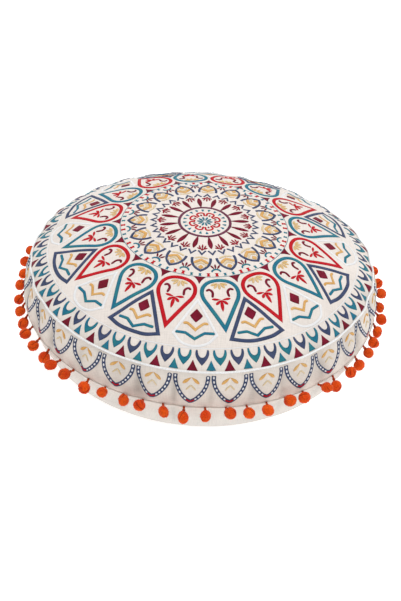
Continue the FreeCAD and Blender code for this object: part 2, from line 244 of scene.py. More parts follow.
@dataclass(frozen=True)
class CanvasFinish(Finish):
    """Plain-weave cotton canvas with slubs, laid out on the flat cloth."""

    COORDINATES = Coordinates.FLAT
    border: Colour = (1.0, 0.995, 0.965)  # factor that warms the cloth towards the seam
    reach: float = 363.0  # millimetres from the middle of the cloth to the seam
    thread_pitch: float = 0.85  # millimetres from thread to thread
    slub_length: float = 22.0
    slub_width: float = 1.3
    slub_depth: float = 0.90  # colour of a slub against the cloth
    relief: float = 0.00018

    def _dress(self, shader: Shader) -> None:
        """Lay the weave, its slubs and the cloudiness of the cloth.

        Args:
            shader: the material under construction.
        """
        warp, weft = (shader.ridges(self.thread_pitch, axis, 0.6) for axis in "XY")
        weave = shader.math("MULTIPLY", warp, weft)
        along = shader.noise(1.0, 2.0, shader.scaled(1 / self.slub_length, 1 / self.slub_width))
        across = shader.noise(1.0, 2.0, shader.scaled(1 / self.slub_width, 1 / self.slub_length))
        slubs = shader.math("MULTIPLY", along, across)
        tone = shader.blend(shader.noise(0.012, 3.0), shade(self.base, 0.955), self.base, 0.35, 0.65)
        tone = shader.darken(tone, slubs, self.slub_depth, 0.16, 0.30)
        tone = shader.darken(tone, weave, 0.93, 0.0, 0.5)
        outward = shader.math("MULTIPLY", shader.from_middle(), 1 / self.reach)
        shader.colour(shader.multiply(tone, shader.blend(outward, grey(1.0), self.border, 0.72, 0.95)))
        shader.set(Roughness=0.92, Specular_IOR_Level=0.2, Sheen_Weight=0.08, Sheen_Roughness=0.6)
        shader.bump(shader.math("ADD", weave, shader.math("MULTIPLY", slubs, 1.5)), self.relief)


@dataclass(frozen=True)
class ThreadFinish(Finish):
    """Embroidery thread: fine ridges across the run of the stitching, with painted shade between them."""

    COORDINATES = Coordinates.FLAT
    drift: Colour  # the shade that the base wanders to
    groove_shade: float = 0.70  # brightness between the threads
    # painted shade: the brightness between the threads
    thread_pitch: float = 0.60  # millimetres from thread to thread

    def _dress(self, shader: Shader) -> None:
        """Lay the threads with painted shade between them, their fibres and the drift of the dye.

        Args:
            shader: the material under construction.
        """
        ridges = shader.ridges(self.thread_pitch, "X", 1.2)
        fibres = shader.noise(1.0, 2.0, shader.scaled(1.8, 0.35))
        tone = shader.blend(shader.noise(0.045), self.base, self.drift, 0.38, 0.66)
        # painted shade in the grooves between the threads
        tone = shader.darken(tone, ridges, self.groove_shade, 0.0, 0.6)
        shader.colour(shader.darken(tone, fibres, self.groove_shade ** 0.6, 0.35, 0.6))
        shader.set(Roughness=0.55, Specular_IOR_Level=0.14)
        shader.bump(ridges, 0.00022)


@dataclass(frozen=True)
class YarnFinish(Finish):
    """Soft acrylic or cotton yarn with a fibrous surface."""

    deep: Colour
    fibre: float = 1400.0  # repeats of the fibre noise in a metre

    def _dress(self, shader: Shader) -> None:
        """Lay the fibres and the patches of deeper colour.

        Args:
            shader: the material under construction.
        """
        fibres = shader.noise(self.fibre, 4.0)
        tone = shader.blend(shader.noise(55.0), self.deep, self.base, 0.30, 0.62)
        shader.colour(shader.darken(tone, fibres, 0.62, 0.32, 0.60))
        shader.set(Roughness=0.95, Specular_IOR_Level=0.1, Sheen_Weight=0.10, Sheen_Roughness=0.5)
        shader.bump(fibres, 0.00035)


@dataclass(frozen=True)
class FibreFinish(Finish):
    """Loose or bonded white fibre, for the insert's casing and filling."""

    scale: float  # repeats of the fibre noise in a metre
    relief: float

    def _dress(self, shader: Shader) -> None:
        """Lay the fibres.

        Args:
            shader: the material under construction.
        """
        fibres = shader.noise(self.scale, 5.0)
        shader.colour(shader.blend(fibres, shade(self.base, 0.88), self.base, 0.3, 0.7))
        shader.set(Roughness=0.95, Sheen_Weight=0.2)
        shader.bump(fibres, self.relief)


@dataclass(frozen=True)
class TapeFinish(Finish):
    """Woven polyester tape: ribs across it and a fine twill."""

    COORDINATES = Coordinates.FLAT
    rib: float = 0.7  # millimetres from rib to rib

    def _dress(self, shader: Shader) -> None:
        """Lay the ribs and the twill.

        Args:
            shader: the material under construction.
        """
        both = shader.math("ADD", shader.ridges(self.rib, "X", 0.3), shader.ridges(self.rib * 1.4, "DIAGONAL", 0.4))
        shader.colour(shader.blend(both, shade(self.base, 0.82), self.base, 0.2, 1.4))
        shader.set(Roughness=0.8, Sheen_Weight=0.2, Specular_IOR_Level=0.3)
        shader.bump(both, 0.00012)


@dataclass(frozen=True)
class NylonFinish(Finish):
    """Extruded nylon monofilament."""

    def _dress(self, shader: Shader) -> None:
        """Lay a faint speckle.

        Args:
            shader: the material under construction.
        """
        speckle = shader.noise(900.0)
        shader.colour(shader.blend(speckle, shade(self.base, 0.9), self.base, 0.3, 0.7))
        shader.roughness(speckle, 0.34, 0.46)
        shader.set(Specular_IOR_Level=0.5)


@dataclass(frozen=True)
class MetalFinish(Finish):
    """Nickel plating with fine scuffs."""

    def _dress(self, shader: Shader) -> None:
        """Lay the scuffs.

        Args:
            shader: the material under construction.
        """
        scuffs = shader.noise(1.0, 3.0, shader.scaled(2600.0, 500.0, 2600.0))
        shader.colour(shader.blend(scuffs, shade(self.base, 0.85), self.base, 0.3, 0.7))
        shader.roughness(scuffs, 0.22, 0.40)
        shader.set(Metallic=1.0)


class Thread(Enum):
    """Embroidery threads: the record's slot, the colour, and the shade that it wanders to."""

    RED = ("thread_red", (0.64, 0.004, 0.014), (0.72, 0.010, 0.022))
    CRIMSON = ("thread_red", (0.34, 0.004, 0.022), (0.44, 0.010, 0.034))
    MAROON = ("thread_maroon", (0.20, 0.0030, 0.020), (0.27, 0.0045, 0.034))
    PLUM = ("thread_maroon", (0.17, 0.036, 0.075), (0.23, 0.055, 0.110))
    TEAL = ("thread_teal", (0.016, 0.200, 0.330), (0.032, 0.255, 0.300))
    NAVY = ("thread_navy", (0.052, 0.078, 0.165), (0.082, 0.105, 0.215))
    HONEY = ("thread_gold", (0.91, 0.59, 0.240), (0.93, 0.66, 0.33))
    GOLD = ("thread_gold", (0.88, 0.47, 0.130), (0.92, 0.56, 0.22))
    STRAW = ("thread_gold", (0.93, 0.72, 0.42), (0.94, 0.78, 0.52))
    WHITE = ("thread_white", (0.90, 0.90, 0.91), (0.92, 0.92, 0.92))

    @property
    def slot(self) -> str:
        """The record's slot."""
        return self.value[0]

    def material(self) -> bpy.types.Material:
        """Build the thread's material."""
        # painted shade between the threads, faint on white thread
        groove_shade = 0.93 if self is Thread.WHITE else 0.70
        return ThreadFinish(f"thread_{self.name.lower()}", self.value[1], self.value[2], groove_shade).material()


# ---- geometry ----
def ease(value: Array, start: float, end: float) -> Array:
    """Smooth step from 0 at start to 1 at end."""
    share = np.clip((value - start) / (end - start), 0.0, 1.0)
    return share * share * (3.0 - 2.0 * share)


def wrapped(angle: Array) -> Array:
    """Angles brought between minus and plus half a turn."""
    return (angle + math.pi) % TURN - math.pi


def even_turn(count: int) -> Array:
    """Azimuths of evenly spaced columns round the axis."""
    return np.arange(count) * TURN / count


def around(radius: Array | float, turn: Array, height: Array | float | None = None) -> Array:
    """Points at azimuths round the axis: in the plane, or in space if a height is given."""
    rows = [radius * np.cos(turn), radius * np.sin(turn)] + ([] if height is None else [height])
    return np.stack(np.broadcast_arrays(*rows), axis=1)


def unit(vectors: Array) -> Array:
    """Vectors brought to length 1."""
    return vectors / np.linalg.norm(vectors, axis=-1, keepdims=True)


def travelled(line: Array) -> Array:
    """Distance along a line, at each of its points."""
    return np.concatenate([[0.0], np.cumsum(np.linalg.norm(np.diff(line, axis=0), axis=1))])


def sampled(spots: Array, run: Array, line: Array) -> Array:
    """Points of a line at some distances along it."""
    return np.stack([np.interp(spots, run, line[:, k]) for k in range(line.shape[1])], axis=1)


def with_ends(points: Array) -> Array:
    """Points with one more at each end, straight on."""
    return np.vstack([2 * points[0] - points[1], points, 2 * points[-1] - points[-2]])


def spline(p0: Array, p1: Array, p2: Array, p3: Array, t: Array) -> Array:
    """Catmull-Rom curve from p1 to p2, as t runs from 0 to 1."""
    return 0.5 * (2 * p1 + (p2 - p0) * t + (2 * p0 - 5 * p1 + 4 * p2 - p3) * t ** 2
                  + (3 * p1 - p0 - 3 * p2 + p3) * t ** 3)


def grid_faces(rows: int, columns: int, closed_rows: bool = False, closed_columns: bool = False) -> Array:
    """Quads of a grid whose vertices run along the columns first.

    Args:
        rows: rows of vertices.
        columns: vertices in a row.
        closed_rows: True to join the last row to the first.
        closed_columns: True to join the last column to the first.

    Returns:
        One quad a row.
    """
    i, j = np.meshgrid(np.arange(rows if closed_rows else rows - 1),
                       np.arange(columns if closed_columns else columns - 1), indexing="ij")
    i2, j2 = (i + 1) % rows, (j + 1) % columns
    quads = np.stack([i * columns + j, i * columns + j2, i2 * columns + j2, i2 * columns + j], axis=-1)
    return quads.reshape(-1, 4)


def band(first: Array, second: Array) -> Array:
    """Quads between two closed rings of vertex numbers."""
    return np.stack([first, second, np.roll(second, -1), np.roll(first, -1)], axis=1)


def flipped(blocks: Iterable[Array]) -> list[Array]:
    """Faces turned the other way."""
    return [block[:, ::-1] for block in blocks]


def closed_surface(grid: Array) -> tuple[Array, list[Array]]:
    """Close a grid of rings with a pole at each end.

    Args:
        grid: rings of points, from the middle of the top to the middle of the base.

    Returns:
        Vertices, with the two poles last, and outward faces.
    """
    rows, columns = grid.shape[:2]
    ring, last = np.arange(columns), (rows - 1) * columns
    points = np.vstack([grid.reshape(-1, 3), grid[0].mean(axis=0), grid[-1].mean(axis=0)])
    poles = [np.full(columns, rows * columns + end) for end in (0, 1)]
    return points, [grid_faces(rows, columns, closed_columns=True)[:, ::-1],
                    np.stack([poles[0], ring, np.roll(ring, -1)], axis=1),
                    np.stack([poles[1], last + np.roll(ring, -1), last + ring], axis=1)]


def tube(line: Array, radius: float | Array, sides: int, closed: bool = False) -> tuple[Array, list[Array]]:
    """Round tube along a line.

    Args:
        line: points along its middle.
        radius: its radius, one or one a point.
        sides: vertices round it.
        closed: True to join the end to the start.

    Returns:
        Vertices and faces.
    """
    ahead = np.roll(line, -1, axis=0) - np.roll(line, 1, axis=0) if closed else np.gradient(line, axis=0)
    ahead = unit(ahead)
    steep = (np.abs(ahead[:, 2]) > STEEP).any()
    side = unit(np.cross(ahead, (1.0, 0.0, 0.0) if steep else (0.0, 0.0, 1.0)))
    rise = np.cross(side, ahead)
    turn = even_turn(sides)
    reach = np.broadcast_to(np.asarray(radius, float), (len(line),))[:, None, None]
    ring = side[:, None, :] * np.cos(turn)[None, :, None] + rise[:, None, :] * np.sin(turn)[None, :, None]
    points = (line[:, None, :] + ring * reach).reshape(-1, 3)
    faces = [grid_faces(len(line), sides, closed_rows=closed, closed_columns=True)]
    if not closed:
        last = (len(line) - 1) * sides
        for first in (np.arange(sides)[::-1], last + np.arange(sides)):
            faces.append(np.stack([np.full(sides - 2, first[0]), first[1:-1], first[2:]], axis=1))
    return points, faces


# ---- shape of the stuffed cover ----
class Profile:
    """Half outline of a panel: distance from the axis and height, by distance along the cloth."""

    SAMPLES_PER_SPAN = 40

    def __init__(self, outline: Sequence[Pair]) -> None:
        """Fit a smooth line through the outline.

        Args:
            outline: (radius, height) in millimetres, from the axis to the seam.
        """
        points = np.array(outline, float) * MM
        mirrored = points[1] * (-1.0, 1.0)
        padded = np.vstack([mirrored, points, 2 * points[-1] - points[-2]])
        dense = [self._span(*padded[i:i + 4]) for i in range(len(points) - 1)]
        self.line = np.vstack([*dense, points[-1:]])
        self.run = travelled(self.line)
        self.length = float(self.run[-1])
        slope = unit(np.gradient(self.line, self.run, axis=0))
        self.normal = np.stack([-slope[:, 1], slope[:, 0]], axis=1)

    def _span(self, before: Array, start: Array, end: Array, after: Array
              ) -> Array:
        """Centripetal Catmull-Rom span from start up to, but not including, end.

        Args:
            before: point before the span.
            start: first point of the span.
            end: last point of the span.
            after: point after the span.

        Returns:
            Points along the span.
        """
        knots = [0.0]
        for first, last in ((before, start), (start, end), (end, after)):
            knots.append(knots[-1] + math.sqrt(float(np.linalg.norm(last - first))) + 1e-9)
        t = np.linspace(knots[1], knots[2], self.SAMPLES_PER_SPAN, endpoint=False)[:, None]

        def mix(a: Array, b: Array, low: float, high: float) -> Array:
            """Linear blend of a and b as t runs from low to high."""
            return (high - t) / (high - low) * a + (t - low) / (high - low) * b

        k0, k1, k2, k3 = knots
        first, middle, last = mix(before, start, k0, k1), mix(start, end, k1, k2), mix(end, after, k2, k3)
        return mix(mix(first, middle, k0, k2), mix(middle, last, k1, k3), k1, k2)

    def at(self, run: Array) -> tuple[Array, Array]:
        """Points (radius, height) and outward normals of the outline, by distance along the cloth."""
        return sampled(run, self.run, self.line), unit(sampled(run, self.run, self.normal))


@dataclass
class Puckers:
    """Small displacements of a round panel, on a grid of rings and columns."""

    grid: Array  # outwards in metres, by ring from the middle and by column
    length: float  # distance along the cloth of the last ring

    def at(self, angle: Array, run: Array) -> Array:
        """Displacement at points of the panel.

        Args:
            angle: azimuths in radians.
            run: distances along the cloth from the middle.

        Returns:
            Displacements in metres.
        """
        rows, columns = self.grid.shape
        row = np.clip(run / self.length * (rows - 1), 0.0, rows - 1.001)
        column = (angle / TURN * columns) % columns
        i, j = row.astype(int), column.astype(int) % columns
        u, v = row - i, column - np.floor(column)
        j2 = (j + 1) % columns
        near = self.grid[i, j] * (1 - v) + self.grid[i, j2] * v
        far = self.grid[i + 1, j] * (1 - v) + self.grid[i + 1, j2] * v
        return near * (1 - u) + far * u


@dataclass
class CushionShape:
    """The stuffed cover: two flat discs of cloth that meet at the seam, with their puckers."""

    top_outline: tuple[Pair, ...] = (
        (0.0, 222.4), (43.0, 221.6), (140.3, 211.6), (231.3, 183.4), (270.0, 164.0),
        (288.0, 147.5), (298.0, 122.0), (300.5, 104.0), (300.0, 91.0))
    base_outline: tuple[Pair, ...] = (
        (0.0, 0.0), (120.0, 0.0), (214.0, 0.0), (240.0, 3.2), (260.0, 11.5), (272.5, 23.0),
        (281.0, 36.0), (287.4, 50.0), (293.4, 63.0), (296.0, 76.0), (297.6, 84.0), (300.0, 89.0))
    fold_count: int = 32  # soft folds between the arches of the border
    fold_depth: float = 0.0072
    # darkest painted shade in a crease of the cover
    crease_shade: float = 0.34
    trim_bulge: float = 0.0004  # how far the cloth may bulge where a pom-pom can reach it
    trim_room: float = 0.0012  # how far it stands back there, for the thread of the arches
    seam_puckers: int = 150  # small puckers that the stitches pull
    seam_pucker_depth: float = 0.0006
    lump_depth: float = 0.0016
    back_slack: float = 0.0125  # the filling has settled away from the back of the shoulder
    back: float = math.pi / 2
    zip_height: float = 0.047
    zip_half_angle: float = math.radians(50.0)
    seed: int = 11  # start of the random sequence that varies the folds

    def __post_init__(self) -> None:
        """Set out the outlines and the folds."""
        self.top = Profile(self.top_outline)
        self.base = Profile(self.base_outline)
        self.zip_run = float(np.interp(self.zip_height, self.base.line[:, 1], self.base.run))
        chance = np.random.default_rng(self.seed)
        pitch = TURN / self.fold_count
        spread = chance.uniform(-0.25, 0.25, self.fold_count)
        self.fold_angle = (np.arange(self.fold_count) + 0.5 + spread) * pitch
        self.fold_strength = chance.uniform(0.35, 1.0, self.fold_count)
        self.fold_width = chance.uniform(0.09, 0.20, self.fold_count) * pitch
        self.lump_phase = chance.uniform(0.0, TURN, (5, 2))
        self.top_puckers: Puckers | None = None
        self.base_puckers: Puckers | None = None

    def _folds(self, angle: Array) -> Array:
        """Depth of the folds round the cushion, from 0 to about 1, deepest in a fold.

        Args:
            angle: azimuths.

        Returns:
            The depths.
        """
        total = np.zeros_like(angle)
        for middle, strength, width in zip(self.fold_angle, self.fold_strength, self.fold_width):
            total += strength / (1.0 + (wrapped(angle - middle) / width) ** 2) ** 1.5
        return total

    def _lumps(self, angle: Array, share: Array) -> Array:
        """Broad unevenness of the filling, from about -1 to 1.

        Args:
            angle: azimuths.
            share: share of the way from the middle to the seam.

        Returns:
            The unevenness.
        """
        total = np.zeros_like(angle)
        for order, (turn, depth) in enumerate(self.lump_phase, start=2):
            total += np.sin(order * angle + turn) * np.sin(share * (2.0 + order) + depth) / order
        return total

    def shade(self, angle: Array, run: float, top: bool) -> Array:
        """Painted shade of the cloth: darker where it is creased, where shade falls in the folds.

        Args:
            angle: angles round the cushion.
            run: distance from the middle of the cloth.
            top: True for the embroidered panel, False for the base panel.

        Returns:
            Tones from 0 to 1.
        """
        relief = self.top_relief if top else self.base_relief
        runs = np.full_like(angle, run)
        depth = relief(angle, runs) + (self._slack(angle, runs) if top else 0.0)
        return 1.0 - self.crease_shade * np.clip(-depth / self.fold_depth - 0.12, 0.0, 1.0) ** 1.2

    def _slack(self, angle: Array, run: Array) -> Array:
        """How far the shoulder hangs back, at the back of the cushion."""
        lobe = np.exp(-((wrapped(angle - self.back) / 1.15) ** 2))
        return self.back_slack * lobe * ease(run, 0.185, 0.250) * (1.0 - ease(run, 0.290, 0.352))

    def top_relief(self, angle: Array, run: Array) -> Array:
        """How far the top panel stands out from its outline, in metres.

        Args:
            angle: azimuths.
            run: distances from the middle of the cloth.

        Returns:
            The relief at each point.
        """
        share = run / self.top.length
        near_seam = np.exp(-(self.top.length - run) / 0.007)
        relief = -self.fold_depth * ease(share, 0.81, 0.93) * self._folds(angle)
        relief += self.lump_depth * self._lumps(angle, share) * np.clip(share * 3.0, 0.0, 1.0)
        relief += self.seam_pucker_depth * near_seam * np.cos(self.seam_puckers * angle)
        relief -= self._slack(angle, run)
        if self.top_puckers:
            relief += self.top_puckers.at(angle, run)
        return self._clear_of_trim(relief, ease(share, 0.84, 0.90)) * self._held(self.top.length - run)

    def base_relief(self, angle: Array, run: Array) -> Array:
        """How far the base panel stands out from its outline, in metres.

        Args:
            angle: azimuths.
            run: distances from the middle of the cloth.

        Returns:
            The relief at each point.
        """
        to_seam = self.base.length - run
        wall = np.exp(-((to_seam - 0.03) / 0.03) ** 2)
        near_seam = np.exp(-to_seam / 0.007)
        relief = -0.7 * self.fold_depth * wall * self._folds(angle)
        relief += self.seam_pucker_depth * near_seam * np.cos(self.seam_puckers * angle)
        if self.base_puckers:
            relief += self.base_puckers.at(angle, run)
        relief *= 1.0 - ease(to_seam, 0.045, 0.085)
        relief = self._clear_of_trim(relief, 1.0 - ease(to_seam, 0.045, 0.070))
        return relief * self._held(to_seam) * self._beside_zip(angle, run)

    def _clear_of_trim(self, relief: Array, near: Array) -> Array:
        """Relief that bulges no further out than the pom-poms leave room for.

        Args:
            relief: the relief.
            near: share of the limit at each point, 1 where a pom-pom can reach the cloth.

        Returns:
            The limited relief.
        """
        bulge = np.maximum(relief, 0.0)
        limited = np.minimum(relief, 0.0) + self.trim_bulge * np.tanh(bulge / self.trim_bulge) - self.trim_room
        return relief + (limited - relief) * near

    def _beside_zip(self, angle: Array, run: Array) -> Array:
        """Share of the relief that is left near the zipper, which keeps the cloth smooth."""
        along = np.maximum(np.abs(wrapped(angle - self.back)) - self.zip_half_angle, 0.0) * 0.29
        across = np.maximum(np.abs(run - self.zip_run) - 0.010, 0.0)
        return ease(np.hypot(along, across), 0.004, 0.026)

    @staticmethod
    def _held(to_seam: Array) -> Array:
        """Share of the relief that is left so near the seam, where the stitches hold the cloth."""
        return np.clip(0.15 + to_seam / 0.012, 0.0, 1.0)

    def place(self, flat: Array, lift: Array | float = 0.0, top: bool = True) -> Array:
        """Map points of the flat cloth onto the stuffed cover.

        Args:
            flat: x and y on the flat panel, in metres from its middle.
            lift: height above the cloth, in metres.
            top: True for the embroidered panel, False for the base panel.

        Returns:
            Points in the row frame.
        """
        profile = self.top if top else self.base
        run = np.hypot(flat[:, 0], flat[:, 1])
        angle = np.arctan2(flat[:, 1], flat[:, 0])
        inside = np.minimum(run, profile.length)
        point, normal = profile.at(inside)
        if not top:
            normal = -normal
        relief = self.top_relief(angle, inside) if top else self.base_relief(angle, inside)
        point = point + normal * (relief + lift)[:, None]
        return around(point[:, 0], angle, np.maximum(point[:, 1], -lift if not top else 0.0))

    def ring(self, run: float, lift: float, columns: int, top: bool) -> Array:
        """Ring of points at one distance along the cloth.

        Args:
            run: that distance from the middle.
            lift: height above the cloth.
            columns: points in the ring.
            top: True for the embroidered panel, False for the base panel.

        Returns:
            Points in the row frame.
        """
        return self.place(run * around(1.0, even_turn(columns)), lift, top)


@dataclass
class ClothRun:
    """Cloth simulation of the closed cover, inflated inside its seam, that finds its puckers."""

    shape: CushionShape
    columns: int = 288
    top_rings: int = 64
    base_rings: int = 44
    frames: int = 20
    pressure: float = 4.0
    excess: float = 0.045  # cloth to spare round the border, which the seam gathers in
    cap: float = 0.0045  # limit of a pucker's depth
    seed: int = 3  # start of the random sequence that disturbs the cloth at first

    def run(self) -> None:
        """Simulate the cover and give its puckers to the shape."""
        rings = self._rings()
        grid = np.stack([self.shape.ring(run, 0.0, self.columns, top) for run, top in rings])
        normals = self._normals(grid)
        noise = np.random.default_rng(self.seed).normal(0.0, 0.00025, grid.shape[:2])
        noise[self.top_rings - 1:self.top_rings + 1] = 0.0
        start = grid + normals * noise[:, :, None]
        slack = np.array([self._spare(run, top) for run, top in rings])
        rest = start * np.stack([1 + slack, 1 + slack, np.ones_like(slack)], axis=1)[:, None, :]
        moved = self._simulate(start, rest)
        out = ((moved - grid) * normals).sum(axis=2)
        out -= out.mean(axis=1, keepdims=True)
        out = self.cap * np.tanh(self._soft(out) / self.cap)
        self.shape.top_puckers = Puckers(out[:self.top_rings], self.shape.top.length)
        self.shape.base_puckers = Puckers(out[self.top_rings:][::-1], self.shape.base.length)
        LOG.info("cloth run: puckers up to %.1f mm", 1000 * float(np.abs(out).max()))

    def _rings(self) -> list[tuple[float, bool]]:
        """Distance along the cloth and panel of each ring, over the top and then under the base."""
        top = np.linspace(0.004, self.shape.top.length, self.top_rings)
        base = np.linspace(self.shape.base.length, 0.004, self.base_rings)
        return [(float(run), True) for run in top] + [(float(run), False) for run in base]

    def _spare(self, run: float, top: bool) -> float:
        """Share of spare cloth round a ring."""
        length = self.shape.top.length if top else self.shape.base.length
        return self.excess * float(ease(np.array(run / length), 0.80, 0.97))

    @staticmethod
    def _normals(grid: Array) -> Array:
        """Outward normals of the grid.

        Args:
            grid: rings of points.

        Returns:
            A unit normal for each point.
        """
        across = np.roll(grid, -1, axis=1) - np.roll(grid, 1, axis=1)
        down = np.gradient(grid, axis=0)
        normals = np.cross(down, across)
        normals /= np.maximum(np.linalg.norm(normals, axis=2), 1e-12)[:, :, None]
        return normals

    @staticmethod
    def _soft(out: Array) -> Array:
        """Grid with its finest ripples smoothed away.

        Args:
            out: the grid.

        Returns:
            The smoothed grid.
        """
        for _ in range(3):
            out = (np.roll(out, 1, axis=1) + 2 * out + np.roll(out, -1, axis=1)) / 4
            out[1:-1] = (out[:-2] + 2 * out[1:-1] + out[2:]) / 4
        return out

    def _simulate(self, start: Array, rest: Array) -> Array:
        """Inflate the cover.

        Args:
            start: rings of vertices where they begin.
            rest: rings of the shape whose edges are as long as the cloth is cut.

        Returns:
            Rings of vertices where they end.
        """
        draft = MeshDraft()
        draft.add(*closed_surface(start))
        ends, _ = closed_surface(rest)
        cover = draft.build("cloth_run", bpy.data.materials.new("cloth_run"))
        cover.shape_key_add(name="start")
        key = cover.shape_key_add(name="as_cut")
        key.data.foreach_set("co", ends.astype(np.float32).ravel())
        held = cover.vertex_groups.new(name="held")
        seam = (self.top_rings - 1) * self.columns
        held.add(list(range(seam, seam + 2 * self.columns)), 1.0, "REPLACE")
        modifier = cover.modifiers.new("cloth", "CLOTH")
        settings = modifier.settings
        for name, value in dict(quality=4, mass=0.2, tension_stiffness=18.0, compression_stiffness=18.0,
                                shear_stiffness=6.0, bending_stiffness=0.4, use_pressure=True,
                                uniform_pressure_force=self.pressure, vertex_group_mass="held",
                                rest_shape_key=key).items():
            setattr(settings, name, value)
        settings.effector_weights.gravity = 0.0
        modifier.collision_settings.use_collision = False
        modifier.point_cache.frame_start, modifier.point_cache.frame_end = 1, self.frames
        for number in range(1, self.frames + 1):
            bpy.context.scene.frame_set(number)
        view = bpy.context.evaluated_depsgraph_get()
        moved = cover.evaluated_get(view).to_mesh()
        answer = np.empty(3 * len(moved.vertices), np.float32)
        moved.vertices.foreach_get("co", answer)
        bpy.context.scene.frame_set(1)
        mesh = cover.data
        bpy.data.objects.remove(cover)
        bpy.data.meshes.remove(mesh)
        return answer.reshape(-1, 3)[:-2].astype(float).reshape(start.shape)


# ---- meshes ----
class MeshDraft:
    """Vertices, faces and flat coordinates that are gathered into one mesh object."""

    def __init__(self) -> None:
        """Start empty."""
        self.points: list[Array] = []
        self.flats: list[Array] = []
        self.tones: list[Array] = []
        self.faces: list[Array] = []
        self.count = 0

    def add(self, points: Array, faces: Iterable[Array], flats: Array | None = None,
            tone: Array | float = 1.0) -> None:
        """Add a patch.

        Args:
            points: its vertices, in metres.
            faces: arrays of faces, each with three or four vertex numbers a row.
            flats: flat coordinates of the vertices, or None where no pattern needs them.
            tone: factor on the colour, one or one a vertex; it carries painted shade in creases, hollows and along
                edges, and random tone.
        """
        self.points.append(points)
        self.flats.append(np.zeros((len(points), 2)) if flats is None else flats)
        self.tones.append(np.broadcast_to(np.asarray(tone, float), (len(points),)))
        for block in faces:
            self.faces.append(np.asarray(block, np.int64) + self.count)
        self.count += len(points)

    def build(self, name: str, material: bpy.types.Material, smooth: bool = True) -> Thing:
        """Make the mesh object.

        Args:
            name: name of the object and mesh.
            material: its material.
            smooth: True to shade it smooth.

        Returns:
            The object, linked to the scene.
        """
        points, flats = np.vstack(self.points), np.vstack(self.flats)
        sizes = np.concatenate([np.full(len(block), block.shape[1]) for block in self.faces])
        loops = np.concatenate([block.ravel() for block in self.faces])
        starts = np.concatenate([[0], np.cumsum(sizes)[:-1]])
        mesh = bpy.data.meshes.new(name)
        mesh.vertices.add(len(points))
        mesh.vertices.foreach_set("co", points.astype(np.float32).ravel())
        mesh.loops.add(len(loops))
        mesh.loops.foreach_set("vertex_index", loops.astype(np.int32))
        mesh.polygons.add(len(sizes))
        mesh.polygons.foreach_set("loop_start", starts.astype(np.int32))
        layer = mesh.uv_layers.new(name="flat")
        layer.uv.foreach_set("vector", flats[loops].astype(np.float32).ravel())
        mesh.polygons.foreach_set("use_smooth", np.full(len(sizes), smooth))
        tone = mesh.attributes.new("tone", "FLOAT", "POINT")
        tone.data.foreach_set("value", np.concatenate(self.tones).astype(np.float32))
        mesh.update(calc_edges=True)
        mesh.validate()
        mesh.materials.append(material)
        thing = bpy.data.objects.new(name, mesh)
        bpy.context.scene.collection.objects.link(thing)
        return thing


def smooth_line(points: Sequence[Pair], step: float, corners: Iterable[int] = ()) -> Array:
    """Even points along a smooth line through a few given ones.

    Args:
        points: given points; the line passes through all of them.
        step: spacing of the even points, in the same units.
        corners: numbers of the given points where the line turns sharply.

    Returns:
        Points along the line, with both ends and all corners kept.
    """
    given = np.array(points, float)
    cuts = sorted({0, len(given) - 1, *corners})
    pieces = []
    for start, end in zip(cuts[:-1], cuts[1:]):
        padded = with_ends(given[start:end + 1])
        t = np.linspace(0.0, 1.0, 16, endpoint=False)[:, None]
        spans = [spline(*four, t) for four in zip(padded, padded[1:], padded[2:], padded[3:])]
        dense = np.vstack([*spans, given[end]])
        run = travelled(dense)
        count = max(2, int(math.ceil(run[-1] / step)) + 1)
        piece = sampled(np.linspace(0.0, run[-1], count), run, dense)
        pieces.append(piece if not pieces else piece[1:])
    return np.vstack(pieces)


def settle(piece: Thing, body: str, node: str | None, slot: str) -> Thing:
    """Put a piece on its body, in place of its CAD node.

    Args:
        piece: the piece.
        body: the body that it rides on.
        node: the CAD node that it replaces, or None where it has none.
        slot: the record's material slot; not used.

    Returns:
        The same piece.
    """
    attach(piece, body)
    if node:
        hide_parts(node)
    return piece


# ---- embroidery ----
class Stitch(Enum):
    """How a shape is stitched: height in millimetres, share that dips, and length of a stitch."""

    SATIN = (0.85, 0.0, 1.0)
    CHAIN = (0.95, 0.22, 2.6)
    LINE = (0.55, 0.15, 2.2)

    def heights(self, run: Array) -> Array:
        """Height of the stitching in millimetres, by distance along it: it dips between stitches."""
        height, wave, length = self.value
        return height * (1.0 - wave * (0.5 + 0.5 * np.cos(TURN * run / length)))


@dataclass(frozen=True)
class Shape:
    """One stitched shape on the flat cloth, between a left and a right edge, in millimetres."""

    left: Array
    right: Array
    stitch: Stitch = Stitch.SATIN
    raised: float = 0.0  # millimetres of other stitching that it lies on
    closed: bool = False  # True where its end meets its start

    ACROSS = (-1.0, -0.88, -0.5, 0.0, 0.5, 0.88, 1.0)
    ROUND = (-0.35, 0.45, 0.88, 1.0, 0.88, 0.45, -0.35)
    # painted shade where the stitching curves down to the cloth, from edge to edge
    EDGE_SHADE = (0.62, 0.80, 1.0, 1.0, 1.0, 0.80, 0.62)

    def patch(self) -> tuple[Array, Array, Array, list[Array]]:
        """The shape as a low cushion of thread on the flat cloth.

        Returns:
            Flat points in millimetres, heights in millimetres, pattern coordinates, and faces.
        """
        middle, half = (self.left + self.right) / 2, (self.right - self.left) / 2
        across, round_ = np.array(self.ACROSS), np.array(self.ROUND)
        run = travelled(middle)
        width = np.hypot(*half.T)
        points = middle[:, None, :] + half[:, None, :] * across[None, :, None]
        full = self.stitch.heights(run) * np.clip(width / 0.9, 0.25, 1.0)
        lift = full[:, None] * np.maximum(round_, 0.0)[None, :] + np.minimum(round_, 0.0)[None, :]
        lift += self.raised * (1.0 - np.abs(across)[None, :] ** 4)
        if not self.closed:
            lift[0], lift[-1] = self.ROUND[0], self.ROUND[0]
        flats = np.stack([np.repeat(run, len(across)), (width[:, None] * across[None, :]).ravel()], axis=1)
        rows, columns = len(middle), len(across)
        faces = [grid_faces(rows, columns),
                 np.array([[i * columns, (i + 1) * columns, (i + 2) * columns - 1, (i + 1) * columns - 1]
                           for i in range(rows - 1)])]
        return points.reshape(-1, 2), lift.ravel(), flats, faces


